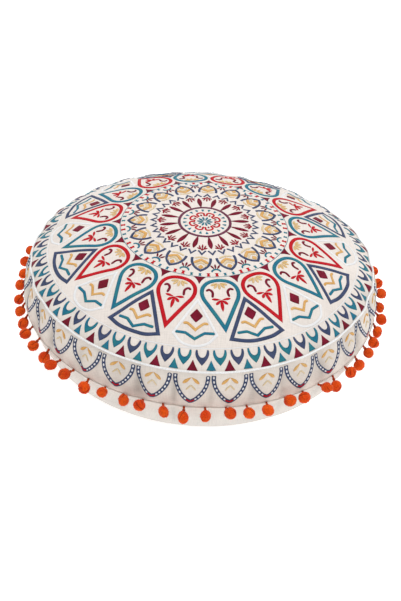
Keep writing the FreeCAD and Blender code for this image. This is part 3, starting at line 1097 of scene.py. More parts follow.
class Needle:
    """Draws shapes on the flat cloth, in the millimetre frame of one motif."""

    STEP = 1.1  # spacing of the rows along a shape

    def stroke(self, points: Sequence[Pair], width: float, corners: Iterable[int] = (),
               stitch: Stitch = Stitch.SATIN, taper: float = 0.0, closed: bool = False,
               raised: float = 0.0) -> Shape:
        """A line of even width.

        Args:
            points: the middle of the line.
            width: its width.
            corners: numbers of the points where it turns sharply.
            stitch: how it is stitched.
            taper: length over which each end narrows.
            closed: True to join the end to the start.
            raised: millimetres of other stitching that it lies on.

        Returns:
            The shape.
        """
        line = smooth_line(points, self.STEP, corners)
        half = np.full(len(line), width / 2)
        if taper:
            run = travelled(line)
            half *= np.clip(0.25 + 0.75 * np.minimum(run, run[-1] - run) / taper, 0.25, 1.0)
        return Shape(*self._both_sides(line, half, closed), stitch, raised, closed)

    def leaf(self, start: Pair, end: Pair, width: float, belly: float = 0.5, bend: float = 0.0,
             raised: float = 0.0) -> Shape:
        """A pointed leaf, widest at a share of its length.

        Args:
            start: one tip.
            end: the other tip.
            width: width at the widest place.
            belly: share of the length where it is widest.
            bend: sideways bow of its middle line.
            raised: millimetres of other stitching that it lies on.

        Returns:
            The shape.
        """
        first, last = np.array(start, float), np.array(end, float)
        length = float(np.hypot(*(last - first)))
        count = max(6, int(length / self.STEP))
        share = np.linspace(0.0, 1.0, count)
        along = (last - first) / length
        side = np.array([along[1], -along[0]])
        line = first + np.outer(share, last - first) + np.outer(np.sin(share * math.pi) * bend, side)
        power = math.log(0.5) / math.log(belly)
        half = width / 2 * np.sin(math.pi * share ** power) ** 0.75
        return Shape(*self._both_sides(line, np.maximum(half, 0.15), False), Stitch.SATIN, raised)

    def leaves(self, start: Pair, end: Pair, width: float, belly: float = 0.5, bend: float = 0.0) -> list[Shape]:
        """A leaf and its reflection across the motif's axis."""
        return [self.leaf(start, end, width, belly, bend),
                self.leaf((-start[0], start[1]), (-end[0], end[1]), width, belly, -bend)]

    def facing(self, edge: Sequence[Pair], corners: Iterable[int] = ()) -> Shape:
        """A filled shape between an edge and its reflection."""
        return self.between(edge, [(-x, y) for x, y in edge], corners)

    def between(self, left: Sequence[Pair], right: Sequence[Pair], corners: Iterable[int] = ()) -> Shape:
        """A filled shape between two edges with the same number of points.

        Args:
            left: one edge.
            right: the other edge, in the same direction.
            corners: numbers of the points where both edges turn sharply.

        Returns:
            The shape.
        """
        both = np.hstack([np.array(left, float), np.array(right, float)])
        middle = (both[:, :2] + both[:, 2:]) / 2
        cuts = sorted({0, len(both) - 1, *corners})
        rows = []
        for start, end in zip(cuts[:-1], cuts[1:]):
            part = both[start:end + 1]
            length = float(np.hypot(*np.diff(middle[start:end + 1], axis=0).T).sum())
            longest = max(float(np.hypot(*np.diff(part[:, k:k + 2], axis=0).T).sum()) for k in (0, 2))
            count = max(3, int(max(length, longest) / self.STEP) + 1)
            rows.append(self._along(part, count) if not rows else self._along(part, count)[1:])
        even = np.vstack(rows)
        return Shape(even[:, :2], even[:, 2:])

    @staticmethod
    def _along(part: Array, count: int) -> Array:
        """Even rows along a smooth run through the given rows.

        Args:
            part: the given rows.
            count: rows wanted.

        Returns:
            The even rows.
        """
        if len(part) == 2:
            return np.linspace(part[0], part[1], count)
        padded = with_ends(part)
        spot = np.linspace(0.0, len(part) - 1.0, count)
        span = np.minimum(spot.astype(int), len(part) - 2)
        t = (spot - span)[:, None]
        return spline(*(padded[span + k] for k in range(4)), t)

    @staticmethod
    def _both_sides(line: Array, half: Array, closed: bool) -> tuple[Array, Array]:
        """Edges of a line, with its sharp corners mitred.

        Args:
            line: points along the middle.
            half: half the width at each point.
            closed: True to join the end to the start with a mitre.

        Returns:
            The left and the right edge.
        """
        ahead = unit(np.diff(line, axis=0))
        first, last = (ahead[-1:], ahead[:1]) if closed else (ahead[:1], ahead[-1:])
        before, after = np.vstack([first, ahead]), np.vstack([ahead, last])
        tangent = before + after
        tangent /= np.maximum(np.hypot(*tangent.T), 1e-6)[:, None]
        side = np.stack([tangent[:, 1], -tangent[:, 0]], axis=1)
        straightness = np.clip(np.abs((tangent * after).sum(axis=1)), 0.34, 1.0)
        offset = side * (half / straightness)[:, None]
        return line - offset, line + offset


@dataclass(frozen=True)
class Motif:
    """One figure of the pattern and where it is repeated round the cloth."""

    name: str
    thread: Thread
    shapes: tuple[Shape, ...]
    count: int
    first: float = 0.0  # degrees from the front to the first repeat
    skip: Callable[[int], bool] = field(default=lambda number: False)

    def angles(self) -> list[float]:
        """Angles of the repeats from the front, in radians."""
        pitch = 360.0 / self.count
        return [math.radians(self.first + number * pitch) for number in range(self.count)
                if not self.skip(number)]


def mirrored(points: Sequence[Pair]) -> list[Pair]:
    """Points reflected across the motif's axis, in reverse order."""
    return [(-x, y) for x, y in reversed(points)]


def both_halves(points: Sequence[Pair]) -> list[Pair]:
    """A symmetric line: the points, which end on the axis, then their reflection."""
    return [*points, *mirrored(points)[1:]]


@dataclass
class Mandala:
    """The embroidered pattern, from the middle of the top panel to the seam."""

    phase: float = -0.9  # degrees that the pattern is turned on the cushion
    sectors: int = 16
    sector: float = 360.0 / sectors
    link_pitch: float = 7.2  # millimetres between the white links along an arch
    tip_reach: float = 8.5  # length of an arch's red tip to each side
    needle: Needle = field(default_factory=Needle)

    def motifs(self) -> list[Motif]:
        """All motifs, from the middle outwards."""
        return [*self.centre(), *self.inner_band(), *self.leaves(), *self.marks(), *self.drops(),
                *self.panels(), *self.tulips(), *self.arches()]

    def centre(self) -> list[Motif]:
        """Fan of petals, scalloped flower, small triangles and the ring round them."""
        n = self.needle
        petal = n.leaf((0, 1.4), (0, 13.4), 3.9, 0.64)
        loop = n.stroke(both_halves([(-6.2, 14.9), (-5, 17), (-5.3, 19.2), (-6.2, 21.4), (-4.6, 24.5),
                                     (0, 25.8)]), 3.3)
        seed = n.leaf((0, 15.4), (0, 20.8), 3.6, 0.55)
        point = n.between([(0, 28.8), (-1.4, 32), (-3.1, 36.2)], [(0.02, 28.8), (1.4, 32), (3.1, 36.2)])
        ring = n.stroke(self._ring(42.1), 4.9, stitch=Stitch.CHAIN, closed=True)
        return [Motif("centre_petals", Thread.TEAL, (petal,), 10, 18),
                Motif("centre_flower", Thread.RED, (loop,), 8, 22.5),
                Motif("centre_seeds", Thread.MAROON, (seed,), 8, 22.5),
                Motif("centre_triangles", Thread.TEAL, (point,), 20, 9),
                Motif("inner_ring", Thread.PLUM, (ring,), 1)]

    @staticmethod
    def _ring(radius: float) -> list[Pair]:
        """Points of a full circle about the middle of the cloth."""
        return [(radius * math.sin(turn), radius * math.cos(turn)) for turn in np.linspace(0, TURN, 73)]

    def inner_band(self) -> list[Motif]:
        """Spindles, little crowns and the ring of V stitches."""
        n = self.needle
        spindle = n.leaf((0, 41.6), (0, 74.6), 8.4, 0.60)
        crown = [n.leaf((0, 77), (0, 62.6), 2.9, 0.6), *n.leaves((-0.6, 76.6), (-5.6, 65.2), 2.7, 0.6, 0.8),
                 *n.leaves((-0.4, 76.8), (-8.8, 71.6), 3.1, 0.6), n.leaf((0, 73.6), (0, 79.4), 4.2)]
        vee = n.stroke([(-7, 79.6), (-5, 80.2), (0, 88.2), (5, 80.2), (7, 79.6)], 3.1, corners=(1, 2, 3))
        return [Motif("spindles", Thread.MAROON, (spindle,), 16, self.sector / 2),
                Motif("inner_crowns", Thread.CRIMSON, tuple(crown), 16),
                Motif("vee_ring", Thread.NAVY, (vee,), 32)]

    def leaves(self) -> list[Motif]:
        """Ring of pointed leaves with their gold filling, and the crowns between them."""
        n = self.needle
        outline = n.stroke(both_halves([(-14.2, 95.8), (-14.7, 103), (-12.6, 112.5), (-7.2, 120.8), (0, 126.4)]),
                           4.6, corners=(4,), stitch=Stitch.CHAIN)
        arch = n.stroke(both_halves([(-11.6, 110.2), (-6.6, 105.4), (0, 101.4)]), 5.8, corners=(2,), taper=3.0)
        dot = n.between([(0, 112.6), (-5, 118.2), (0, 123.4)], [(0.02, 112.6), (5, 118.2), (0.02, 123.4)],
                        corners=(1,))
        brow = n.stroke(both_halves([(-11.2, 98.2), (-5, 96), (0, 95.4)]), 3.8, taper=3.0)
        inner = n.stroke(both_halves([(-7.4, 113.6), (-4, 110.2), (0, 107.8)]), 3.9, corners=(2,), taper=2.0)
        sides = n.leaves((-10.4, 112.4), (-6.2, 118.8), 3.4)
        prongs = [n.leaf((0, 123), (0, 111), 3.4, 0.6), *n.leaves((-1.6, 123.2), (-7.6, 113.4), 3.4, 0.6)]
        stand = n.stroke(both_halves([(-7.2, 129.4), (-5.4, 125.2), (0, 123.2)]), 3.2, taper=2.0)
        return [Motif("leaf_outlines", Thread.NAVY, (outline,), 16),
                Motif("leaf_arches", Thread.GOLD, (arch, dot), 16),
                Motif("leaf_fillings", Thread.STRAW, (brow, inner, *sides), 16),
                Motif("outer_crowns", Thread.MAROON, tuple(prongs), 16, self.sector / 2),
                Motif("crown_stands", Thread.TEAL, (stand,), 16, self.sector / 2)]

    def marks(self) -> list[Motif]:
        """Small tulip marks, the fine line under them and the hanging triangles."""
        n = self.needle
        large = [(-3.5, 130.6), (-1.9, 134.6), (-3.7, 138.6)]
        small = [(-2.9, 131.4), (-1.7, 134.8), (-3, 138)]
        line = n.stroke(self._ring(139.4), 1.1, stitch=Stitch.LINE, closed=True)
        side = [(-10.6, 139.2), (-6.2, 143.6), (-2.8, 148.4), (-0.02, 154.6)]
        marks = [n.facing(edge) for edge in (large, small, side)]
        return [Motif("red_marks", Thread.RED, (marks[0],), 64, 0, lambda number: number % 4 in (0, 3)),
                Motif("teal_marks", Thread.TEAL, (marks[1],), 64, 0, lambda number: number % 4 in (1, 2)),
                Motif("fine_line", Thread.TEAL, (line,), 1),
                Motif("hanging_triangles", Thread.MAROON, (marks[2],), 16)]

    def drops(self) -> list[Motif]:
        """Large teardrops, in turn red and teal, with the figures inside them."""
        n = self.needle
        side = [(0, 235), (-8.9, 217.6), (-20.8, 194), (-26.8, 181), (-28.3, 169.5), (-24.6, 158),
                (-15, 149.6), (0, 146.6)]
        outline = n.stroke(both_halves(side), 6.7, stitch=Stitch.CHAIN, closed=True)
        fan = [n.leaf((2.2 * math.sin(turn), 152), (14.2 * math.sin(turn), 151.0 + 14.4 * math.cos(turn) ** 0.8),
                      4.7, 0.6) for turn in np.radians([-72, -38, 0, 38, 72])]
        hook = [(-21.8, 166.8), (-16.4, 164.2), (-11.8, 169.6), (-13.2, 180)]
        hooks = [n.stroke(line, 4.3, taper=2.5) for line in (hook, [(-x, y) for x, y in hook])]
        palm = [*n.leaves((-0.6, 184.6), (-15, 182.4), 4.6, 0.62), *n.leaves((-0.6, 185), (-9.6, 193.6), 5.4, 0.6),
                n.leaf((0, 184), (0, 206), 5.9)]
        half = self.sector / 2
        return [Motif("red_drops", Thread.RED, (outline,), 8, -half),
                Motif("teal_drops", Thread.TEAL, (outline,), 8, half),
                Motif("drop_fans", Thread.HONEY, tuple(fan), 16, half),
                Motif("drop_hooks", Thread.MAROON, tuple(hooks), 16, half),
                Motif("drop_palms", Thread.RED, tuple(palm), 16, half)]

    def panels(self) -> list[Motif]:
        """Three-sided panels between the teardrops, in turn white and navy, and their figures."""
        n = self.needle
        navy = n.stroke([(0, 187.4), (-42, 248.6), (-22, 256.2), (0, 258.6), (22, 256.2), (42, 248.6),
                         (0, 187.4)], 6.3, corners=(1, 5), stitch=Stitch.CHAIN, closed=True)
        white = n.stroke([(0, 186), (-33.5, 243), (-20, 258.2), (0, 263.4), (20, 258.2), (33.5, 243),
                          (0, 186)], 4.4, corners=(1, 5), stitch=Stitch.CHAIN, closed=True)
        kite_left = [(-0.1, 201.4), (-5.4, 207.2), (-10.6, 213.2), (-7.4, 217.8), (-3.4, 221.8), (-0.1, 224.8)]
        kite = n.facing(kite_left, corners=(2,))
        gold = n.stroke(both_halves([(-19.6, 226.6), (-13.4, 225.8), (-8, 229.6), (0, 236.8)]), 4.5,
                        corners=(3,), taper=2.0)
        teal = n.stroke(both_halves([(-30.6, 241), (-14.6, 242), (0, 251.4)]), 4.9,
                        corners=(1, 2, 3), taper=1.5)
        return [Motif("navy_panels", Thread.NAVY, (navy,), 8, self.sector),
                Motif("white_panels", Thread.WHITE, (white,), 8),
                Motif("kites", Thread.MAROON, (kite,), 16),
                Motif("gold_chevrons", Thread.GOLD, (gold,), 16),
                Motif("teal_chevrons", Thread.TEAL, (teal,), 16)]

    def tulips(self) -> list[Motif]:
        """Ring of open tulips and the triangles between them, above the couched cord."""
        n = self.needle
        outer = [(-9.9, 268.6), (-10.7, 275), (-8.8, 281.6), (-4.7, 287.8), (0, 293.2)]
        inner = [(-7.2, 268.4), (-6.3, 273.4), (-5, 277.2), (-2.7, 279.7), (0, 280.4)]
        tulip = n.between(both_halves(outer), both_halves(inner), corners=(4,))
        large = n.facing([(-0.1, 284), (-4.2, 292.2), (-9.8, 301)])
        small = n.facing([(-0.1, 284.4), (-3.7, 291.8), (-8.5, 300)])
        line = n.stroke(self._ring(266.7), 1.5, stitch=Stitch.LINE, closed=True)
        pitch = 360.0 / 64
        return [Motif("white_line", Thread.WHITE, (line,), 1),
                Motif("teal_tulips", Thread.TEAL, (tulip,), 32, -pitch / 2),
                Motif("navy_tulips", Thread.NAVY, (tulip,), 32, pitch / 2),
                Motif("maroon_triangles", Thread.MAROON, (large,), 32),
                Motif("teal_triangles", Thread.TEAL, (small,), 32, pitch)]

    def arches(self) -> list[Motif]:
        """Arches of the border, open at the couched cord, with their lozenges and leaves."""
        n = self.needle
        side = [(-25.6, 306), (-26.2, 314.5), (-24, 326), (-17.2, 338), (-8.4, 347.8), (0, 352.6)]
        whole = both_halves(side)
        middle = smooth_line(whole, 0.5, corners=(5,))
        band = n.stroke(whole, 4.6, corners=(5,), stitch=Stitch.LINE)
        edges = self._edges(middle)
        run = travelled(middle)
        count = round(run[-1] / self.link_pitch)
        spots = [spot for spot in (np.arange(count) + 0.5) * run[-1] / count
                 if abs(spot - run[-1] / 2) > self.tip_reach]
        white = [n.leaf(*sampled(spot + np.array([-2.8, 2.8]), run, middle), 3.3, raised=0.35) for spot in spots]
        line = [*middle[np.abs(run - run[-1] / 2) < self.tip_reach][::3]]
        point = len(line) // 2
        line[point] = (0, 352)
        red = n.stroke(line, 3, corners=(point,), raised=0.4)
        upper = [n.leaf((0.2, 310.4), (-14.2, 321), 5.6, 0.62), n.leaf((-0.2, 310.4), (13.6, 320.8), 5.6, 0.62)]
        lower = [n.stroke([(0.4, 323), (-8.6, 332)], 2.8, taper=2.5),
                 n.stroke([(-0.4, 323), (8.2, 331.8)], 2.8, taper=2.5)]
        return [Motif("arch_bands", Thread.NAVY, (band, *edges), 32),
                Motif("arch_links", Thread.WHITE, tuple(white), 32),
                Motif("arch_tips", Thread.RED, (red,), 32),
                Motif("arch_leaves", Thread.GOLD, tuple(upper), 32),
                Motif("arch_sprigs", Thread.STRAW, tuple(lower), 32)]

    def _edges(self, middle: Array) -> list[Shape]:
        """The two outer lines of an arch, beside its middle line."""
        ahead = unit(np.gradient(middle, axis=0))
        side = np.stack([ahead[:, 1], -ahead[:, 0]], axis=1)
        return [self.needle.stroke((middle + side * offset)[::6], 1.8, stitch=Stitch.CHAIN)
                for offset in (-2.6, 2.6)]


@dataclass
class Embroidery:
    """Lays the mandala's motifs on the cover and dresses them in thread."""

    shape: CushionShape
    mandala: Mandala

    def build(self) -> list[Thing]:
        """Make one piece for each motif."""
        materials = {thread: thread.material() for thread in Thread}
        return [self._piece(motif, materials[motif.thread]) for motif in self.mandala.motifs()]

    def _piece(self, motif: Motif, material: bpy.types.Material) -> Thing:
        """Repeat a motif round the cloth and map it onto the cover.

        Args:
            motif: the motif.
            material: its thread.

        Returns:
            The piece, on the cushion's body.
        """
        draft = MeshDraft()
        for angle in motif.angles():
            turn = angle + math.radians(self.mandala.phase)
            # painted shade along the edges of the stitching, faint on white thread
            edges = np.array(Shape.EDGE_SHADE) ** (0.2 if motif.thread is Thread.WHITE else 1.0)
            along = np.array([math.sin(turn), -math.cos(turn)])
            side = np.array([math.cos(turn), math.sin(turn)])
            for shape in motif.shapes:
                points, lift, pattern, faces = shape.patch()
                flat = (points[:, :1] * side + points[:, 1:] * along) * MM
                shift = np.array([angle * 40.0, 0.0])
                draft.add(self.shape.place(flat, lift * MM), faces, pattern + shift,
                          np.tile(edges, len(shape.left)))
        piece = draft.build(f"embroidery_{motif.name}", material)
        return settle(piece, CUSHION_BODY, None, motif.thread.slot)


# ---- cover ----
@dataclass
class CoverPanel:
    """One round panel of the cover, with its thickness and its seam allowance turned inward."""

    shape: CushionShape
    top: bool
    name: str
    node: str
    slot: str
    columns: int = 720
    thickness: float = 0.0011
    allowance: float = 0.007  # seam allowance that is modelled, beyond the seam
    outer_step: float = 0.0042
    inner_step: float = 0.0090
    slot_half: float = 0.0043  # half the height of the zipper's slot

    @property
    def profile(self) -> Profile:
        """Outline of this panel."""
        return self.shape.top if self.top else self.shape.base

    def _runs(self, step: float) -> Array:
        """Distances of the rings from the middle of the cloth, with one at each edge of the slot.

        Args:
            step: spacing of the rings.

        Returns:
            The distances.
        """
        length = self.profile.length
        runs = np.linspace(0.0, length, int(length / step) + 1)[1:]
        if not self.top:
            for edge in self._slot_edges():
                runs[np.abs(runs - edge).argmin()] = edge
        return runs

    def _slot_edges(self) -> tuple[float, float]:
        """Distances from the middle of the cloth to the slot's lower and upper edge."""
        return self.shape.zip_run - self.slot_half, self.shape.zip_run + self.slot_half

    def _columns_at(self, run: float) -> int:
        """Vertices in the ring at that distance, fewer towards the middle.

        Args:
            run: distance from the middle of the cloth.

        Returns:
            Their number.
        """
        columns = self.columns
        for limit in (0.16, 0.08, 0.04, 0.016):
            if run < limit:
                columns //= 2
        return columns

    def _in_slot(self, block: Array, lower: float) -> Array:
        """Which faces of a full ring lie in the zipper's slot.

        Args:
            block: faces of the ring.
            lower: distance of its lower edge from the middle of the cloth.

        Returns:
            True for each face in the slot.
        """
        low, high = self._slot_edges()
        middle = (np.arange(len(block)) + 0.5) * TURN / self.columns
        near = np.abs(wrapped(middle - self.shape.back)) < self.shape.zip_half_angle
        return near & (low - 1e-6 < lower < high - 1e-6)

    def _skin(self, draft: MeshDraft, step: float, inset: float, flip: bool
              ) -> tuple[Array, list[Array]]:
        """Add a skin from the middle to the seam, with its slot left open.

        Args:
            draft: where it is added.
            step: distance between rings.
            inset: depth below the outer face.
            flip: True to turn the faces the other way.

        Returns:
            Vertex numbers of its last ring, and of the rings at the slot's two edges.
        """
        start = draft.count
        middle = self.shape.place(np.array([[1e-6, 0.0]]), -inset, self.top)
        points, flats, tones, faces, edges = [middle], [np.zeros((1, 2))], [np.ones(1)], [], []
        count, last, lower = 1, None, 0.0
        for run in self._runs(step):
            columns = self._columns_at(run)
            turn = even_turn(columns)
            points.append(self.shape.ring(run, -inset, columns, self.top))
            flats.append(run / MM * around(1.0, turn))
            # painted shade in the creases of the cover, through the tone attribute
            tones.append(self.shape.shade(turn, run, self.top))
            here = np.arange(columns) + count
            if last is None:
                faces.append(np.stack([np.zeros(columns, int), here, np.roll(here, -1)], axis=1))
            elif len(last) == columns:
                block = band(last, here)
                faces.append(block if self.top else block[~self._in_slot(block, lower)])
            else:
                double, following = here.reshape(-1, 2), np.roll(last, -1)
                faces.append(np.stack([last, double[:, 0], double[:, 1]], axis=1))
                faces.append(np.stack([last, double[:, 1], following], axis=1))
                faces.append(np.stack([following, double[:, 1], np.roll(double[:, 0], -1)], axis=1))
            if not self.top and min(abs(run - edge) for edge in self._slot_edges()) < 1e-6:
                edges.append(here + start)
            last, lower, count = here, run, count + columns
        draft.add(np.vstack(points), flipped(faces) if flip else faces, np.vstack(flats), np.concatenate(tones))
        return start + last, edges

    def build(self, finish: CanvasFinish) -> Thing:
        """Make the panel.

        Args:
            finish: its cloth.

        Returns:
            The piece, on the cushion's body, in place of the CAD panel.
        """
        draft = MeshDraft()
        outer, outer_edges = self._skin(draft, self.outer_step, 0.0, not self.top)
        inner, inner_edges = self._skin(draft, self.inner_step, self.thickness, self.top)
        self._hem(draft, outer, inner)
        if not self.top:
            self._slot_rim(draft, outer_edges, inner_edges)
        return settle(draft.build(self.name, finish.material()), CUSHION_BODY, self.node, self.slot)

    def _slot_rim(self, draft: MeshDraft, outer: list[Array], inner: list[Array]) -> None:
        """Close the cut edges of the slot between the two skins.

        Args:
            draft: where it is added.
            outer: rings of the outer skin at the slot's lower and upper edge.
            inner: the same rings of the inner skin.
        """
        half = round(self.shape.zip_half_angle / TURN * self.columns)
        first = self.columns // 4 - half
        span = np.arange(first, first + 2 * half + 1)
        for ring, under, flip in ((outer[0], inner[0], True), (outer[1], inner[1], False)):
            quads = np.stack([ring[span[:-1]], ring[span[1:]], under[span[1:]], under[span[:-1]]], axis=1)
            draft.faces.append(quads if flip else quads[:, ::-1])
        for column, flip in ((span[0], False), (span[-1], True)):
            quad = np.array([[outer[0][column], outer[1][column], inner[1][column], inner[0][column]]])
            draft.faces.append(quad if flip else quad[:, ::-1])

    def _hem(self, draft: MeshDraft, outer: Array, inner: Array) -> None:
        """Turn both skins inward at the seam and close them at the raw edge.

        Args:
            draft: where it is added.
            outer: last ring of the outer skin.
            inner: last ring of the inner skin.
        """
        turn = even_turn(self.columns)
        radius = self.profile.line[-1, 0]
        sign = 1.0 if self.top else -1.0
        rows = [around(radius - reach, turn, SEAM_HEIGHT + sign * lift)
                for reach, lift in ((0.0018, 0.00052), (self.allowance, 0.00055),
                                    (self.allowance, 0.00165), (0.0030, 0.00175))]
        start = draft.count
        flats = self.profile.length / MM * around(1.0, turn)
        draft.add(np.vstack(rows), [], np.vstack([flats] * len(rows)))
        rings = [outer, *(start + row * self.columns + np.arange(self.columns) for row in range(4)), inner]
        for first, second in zip(rings[:-1], rings[1:]):
            quads = band(first, second)
            draft.faces.append(quads if self.top else quads[:, ::-1])


@dataclass
class Insert:
    """The cushion pad inside the cover: a non-woven casing and the fibre that fills it."""

    shape: CushionShape
    columns: int = 240
    gap: float = 0.0022  # from the cover's outside to the casing
    zip_gap: float = 0.0034  # further gap behind the base panel, for the zipper
    waist_radius: float = 0.2886
    waist_half: float = 0.0040
    casing: float = 0.0008

    def _surface(self, draft: MeshDraft, inset: float, flip: bool, lumps: float) -> None:
        """Add one closed surface of the pad.

        Args:
            draft: where it is added.
            inset: depth below the casing's outside.
            flip: True to turn the faces inward.
            lumps: height of the fibre's unevenness.
        """
        top, base = self.shape.top.length, self.shape.base.length
        turn = even_turn(self.columns)
        rings = [self.shape.ring(run, -self.gap - inset, self.columns, True)
                 for run in np.linspace(0.004, top - 0.016, 56)]
        for height in (self.waist_half + inset, -self.waist_half - inset):
            rings.append(around(self.waist_radius - inset, turn, SEAM_HEIGHT + height))
        for run in np.linspace(base - 0.016, 0.004, 40):
            behind_zip = self.zip_gap * float(ease(np.array(run), 0.190, 0.235))
            rings.append(self.shape.ring(run, -self.gap - behind_zip - inset, self.columns, False))
        grid = np.stack(rings)
        if lumps:
            rows = np.arange(len(rings))[:, None]
            wave = np.sin(11 * turn + 0.9 * rows) * np.sin(0.7 * rows + 5 * turn)
            grid[:, :, :2] *= 1.0 - lumps * (0.5 + 0.5 * wave[:, :, None]) / 0.3
        points, faces = closed_surface(grid)
        draft.add(points, flipped(faces) if flip else faces)

    def build(self, casing: FibreFinish, filling: FibreFinish) -> list[Thing]:
        """Make the casing and the filling.

        Args:
            casing: finish of the non-woven cloth.
            filling: finish of the fibre.

        Returns:
            Both pieces, on the cushion's body, in place of their CAD nodes.
        """
        bag, fibre = MeshDraft(), MeshDraft()
        self._surface(bag, 0.0, False, 0.0)
        self._surface(bag, self.casing, True, 0.0)
        self._surface(fibre, self.casing + 0.0002, False, 0.0012)
        return [settle(draft.build(name, finish.material()), CUSHION_BODY, node, slot)
                for draft, name, node, finish, slot in (
                    (bag, "insert_bag", "insert_casing", casing, "insert_fabric"),
                    (fibre, "insert_fibre", "fibre_filling", filling, "filling"))]


@dataclass
class TrimTape:
    """Woven heading tape that carries the pom-poms and is sewn into the seam."""

    inner_radius: float = 0.2905
    outer_radius: float = 0.3007
    half_thickness: float = 0.00044
    columns: int = 1440
    picots: int = 480  # small loops of the weft along the tape's edge
    picot_depth: float = 0.00018

    def build(self, finish: TapeFinish) -> Thing:
        """Make the tape.

        Args:
            finish: its weave.

        Returns:
            The piece, on the cushion's body, in place of the CAD tape.
        """
        turn = even_turn(self.columns)
        picot = self.picot_depth * np.cos(self.picots * turn)
        rows, flats = [], []
        for reach, lift, edge in ((0.0, 1.0, 0.0), (0.5, 1.0, 0.0), (0.96, 0.9, 0.6), (1.0, 0.0, 1.0),
                                  (0.96, -0.9, 0.6), (0.5, -1.0, 0.0), (0.0, -1.0, 0.0)):
            radius = self.inner_radius + reach * (self.outer_radius - self.inner_radius) + edge * picot
            rows.append(around(radius, turn, SEAM_HEIGHT + lift * self.half_thickness))
            flats.append(np.stack([turn * self.outer_radius / MM, np.full(self.columns, reach * 10.0)], axis=1))
        draft = MeshDraft()
        draft.add(np.vstack(rows), [grid_faces(len(rows), self.columns, True, True)[:, ::-1]], np.vstack(flats))
        return settle(draft.build("trim_tape_weave", finish.material()), CUSHION_BODY, "trim_tape", "trim_tape")


@dataclass
class StitchRow:
    """A row of single lockstitches along a line."""

    pitch: float = 0.0031
    gap: float = 0.0004  # between one stitch and the next
    radius: float = 0.00036
    arch: float = 0.00025  # how far the middle of a stitch stands above its ends

    def add(self, draft: MeshDraft, line: Array, up: Array) -> None:
        """Add the row's stitches.

        Args:
            draft: where they are added.
            line: points along the row.
            up: direction away from the cloth at each point.
        """
        run = travelled(line)
        share = np.linspace(0.0, 1.0, 6)
        swell = np.array([0.35, 0.9, 1.0, 1.0, 0.9, 0.35])
        rise = np.sin(np.pi * share)[:, None] * self.arch
        for start in np.arange(0.0, run[-1] - self.pitch, self.pitch):
            spots = start + self.gap / 2 + share * (self.pitch - self.gap)
            middle = sampled(spots, run, line) + sampled(spots, run, up) * rise
            draft.add(*tube(middle, self.radius * swell, 6))


@dataclass
class SeamStitches:
    """Needle and bobbin thread of the perimeter seam, inside the cover."""

    radius: float = 0.295
    lift: float = 0.00215

    def build(self, finish: YarnFinish) -> Thing:
        """Make both rows.

        Args:
            finish: the thread.

        Returns:
            The piece, on the cushion's body, in place of the CAD threads.
        """
        draft = MeshDraft()
        turn = np.linspace(0.0, TURN, 1441)
        for side in (1.0, -1.0):
            line = around(self.radius, turn, SEAM_HEIGHT + side * self.lift)
            StitchRow().add(draft, line, np.tile([0.0, 0.0, side], (len(turn), 1)))
        thread = draft.build("seam_stitches", finish.material())
        return settle(thread, CUSHION_BODY, "seam_stitching", "sewing_thread")


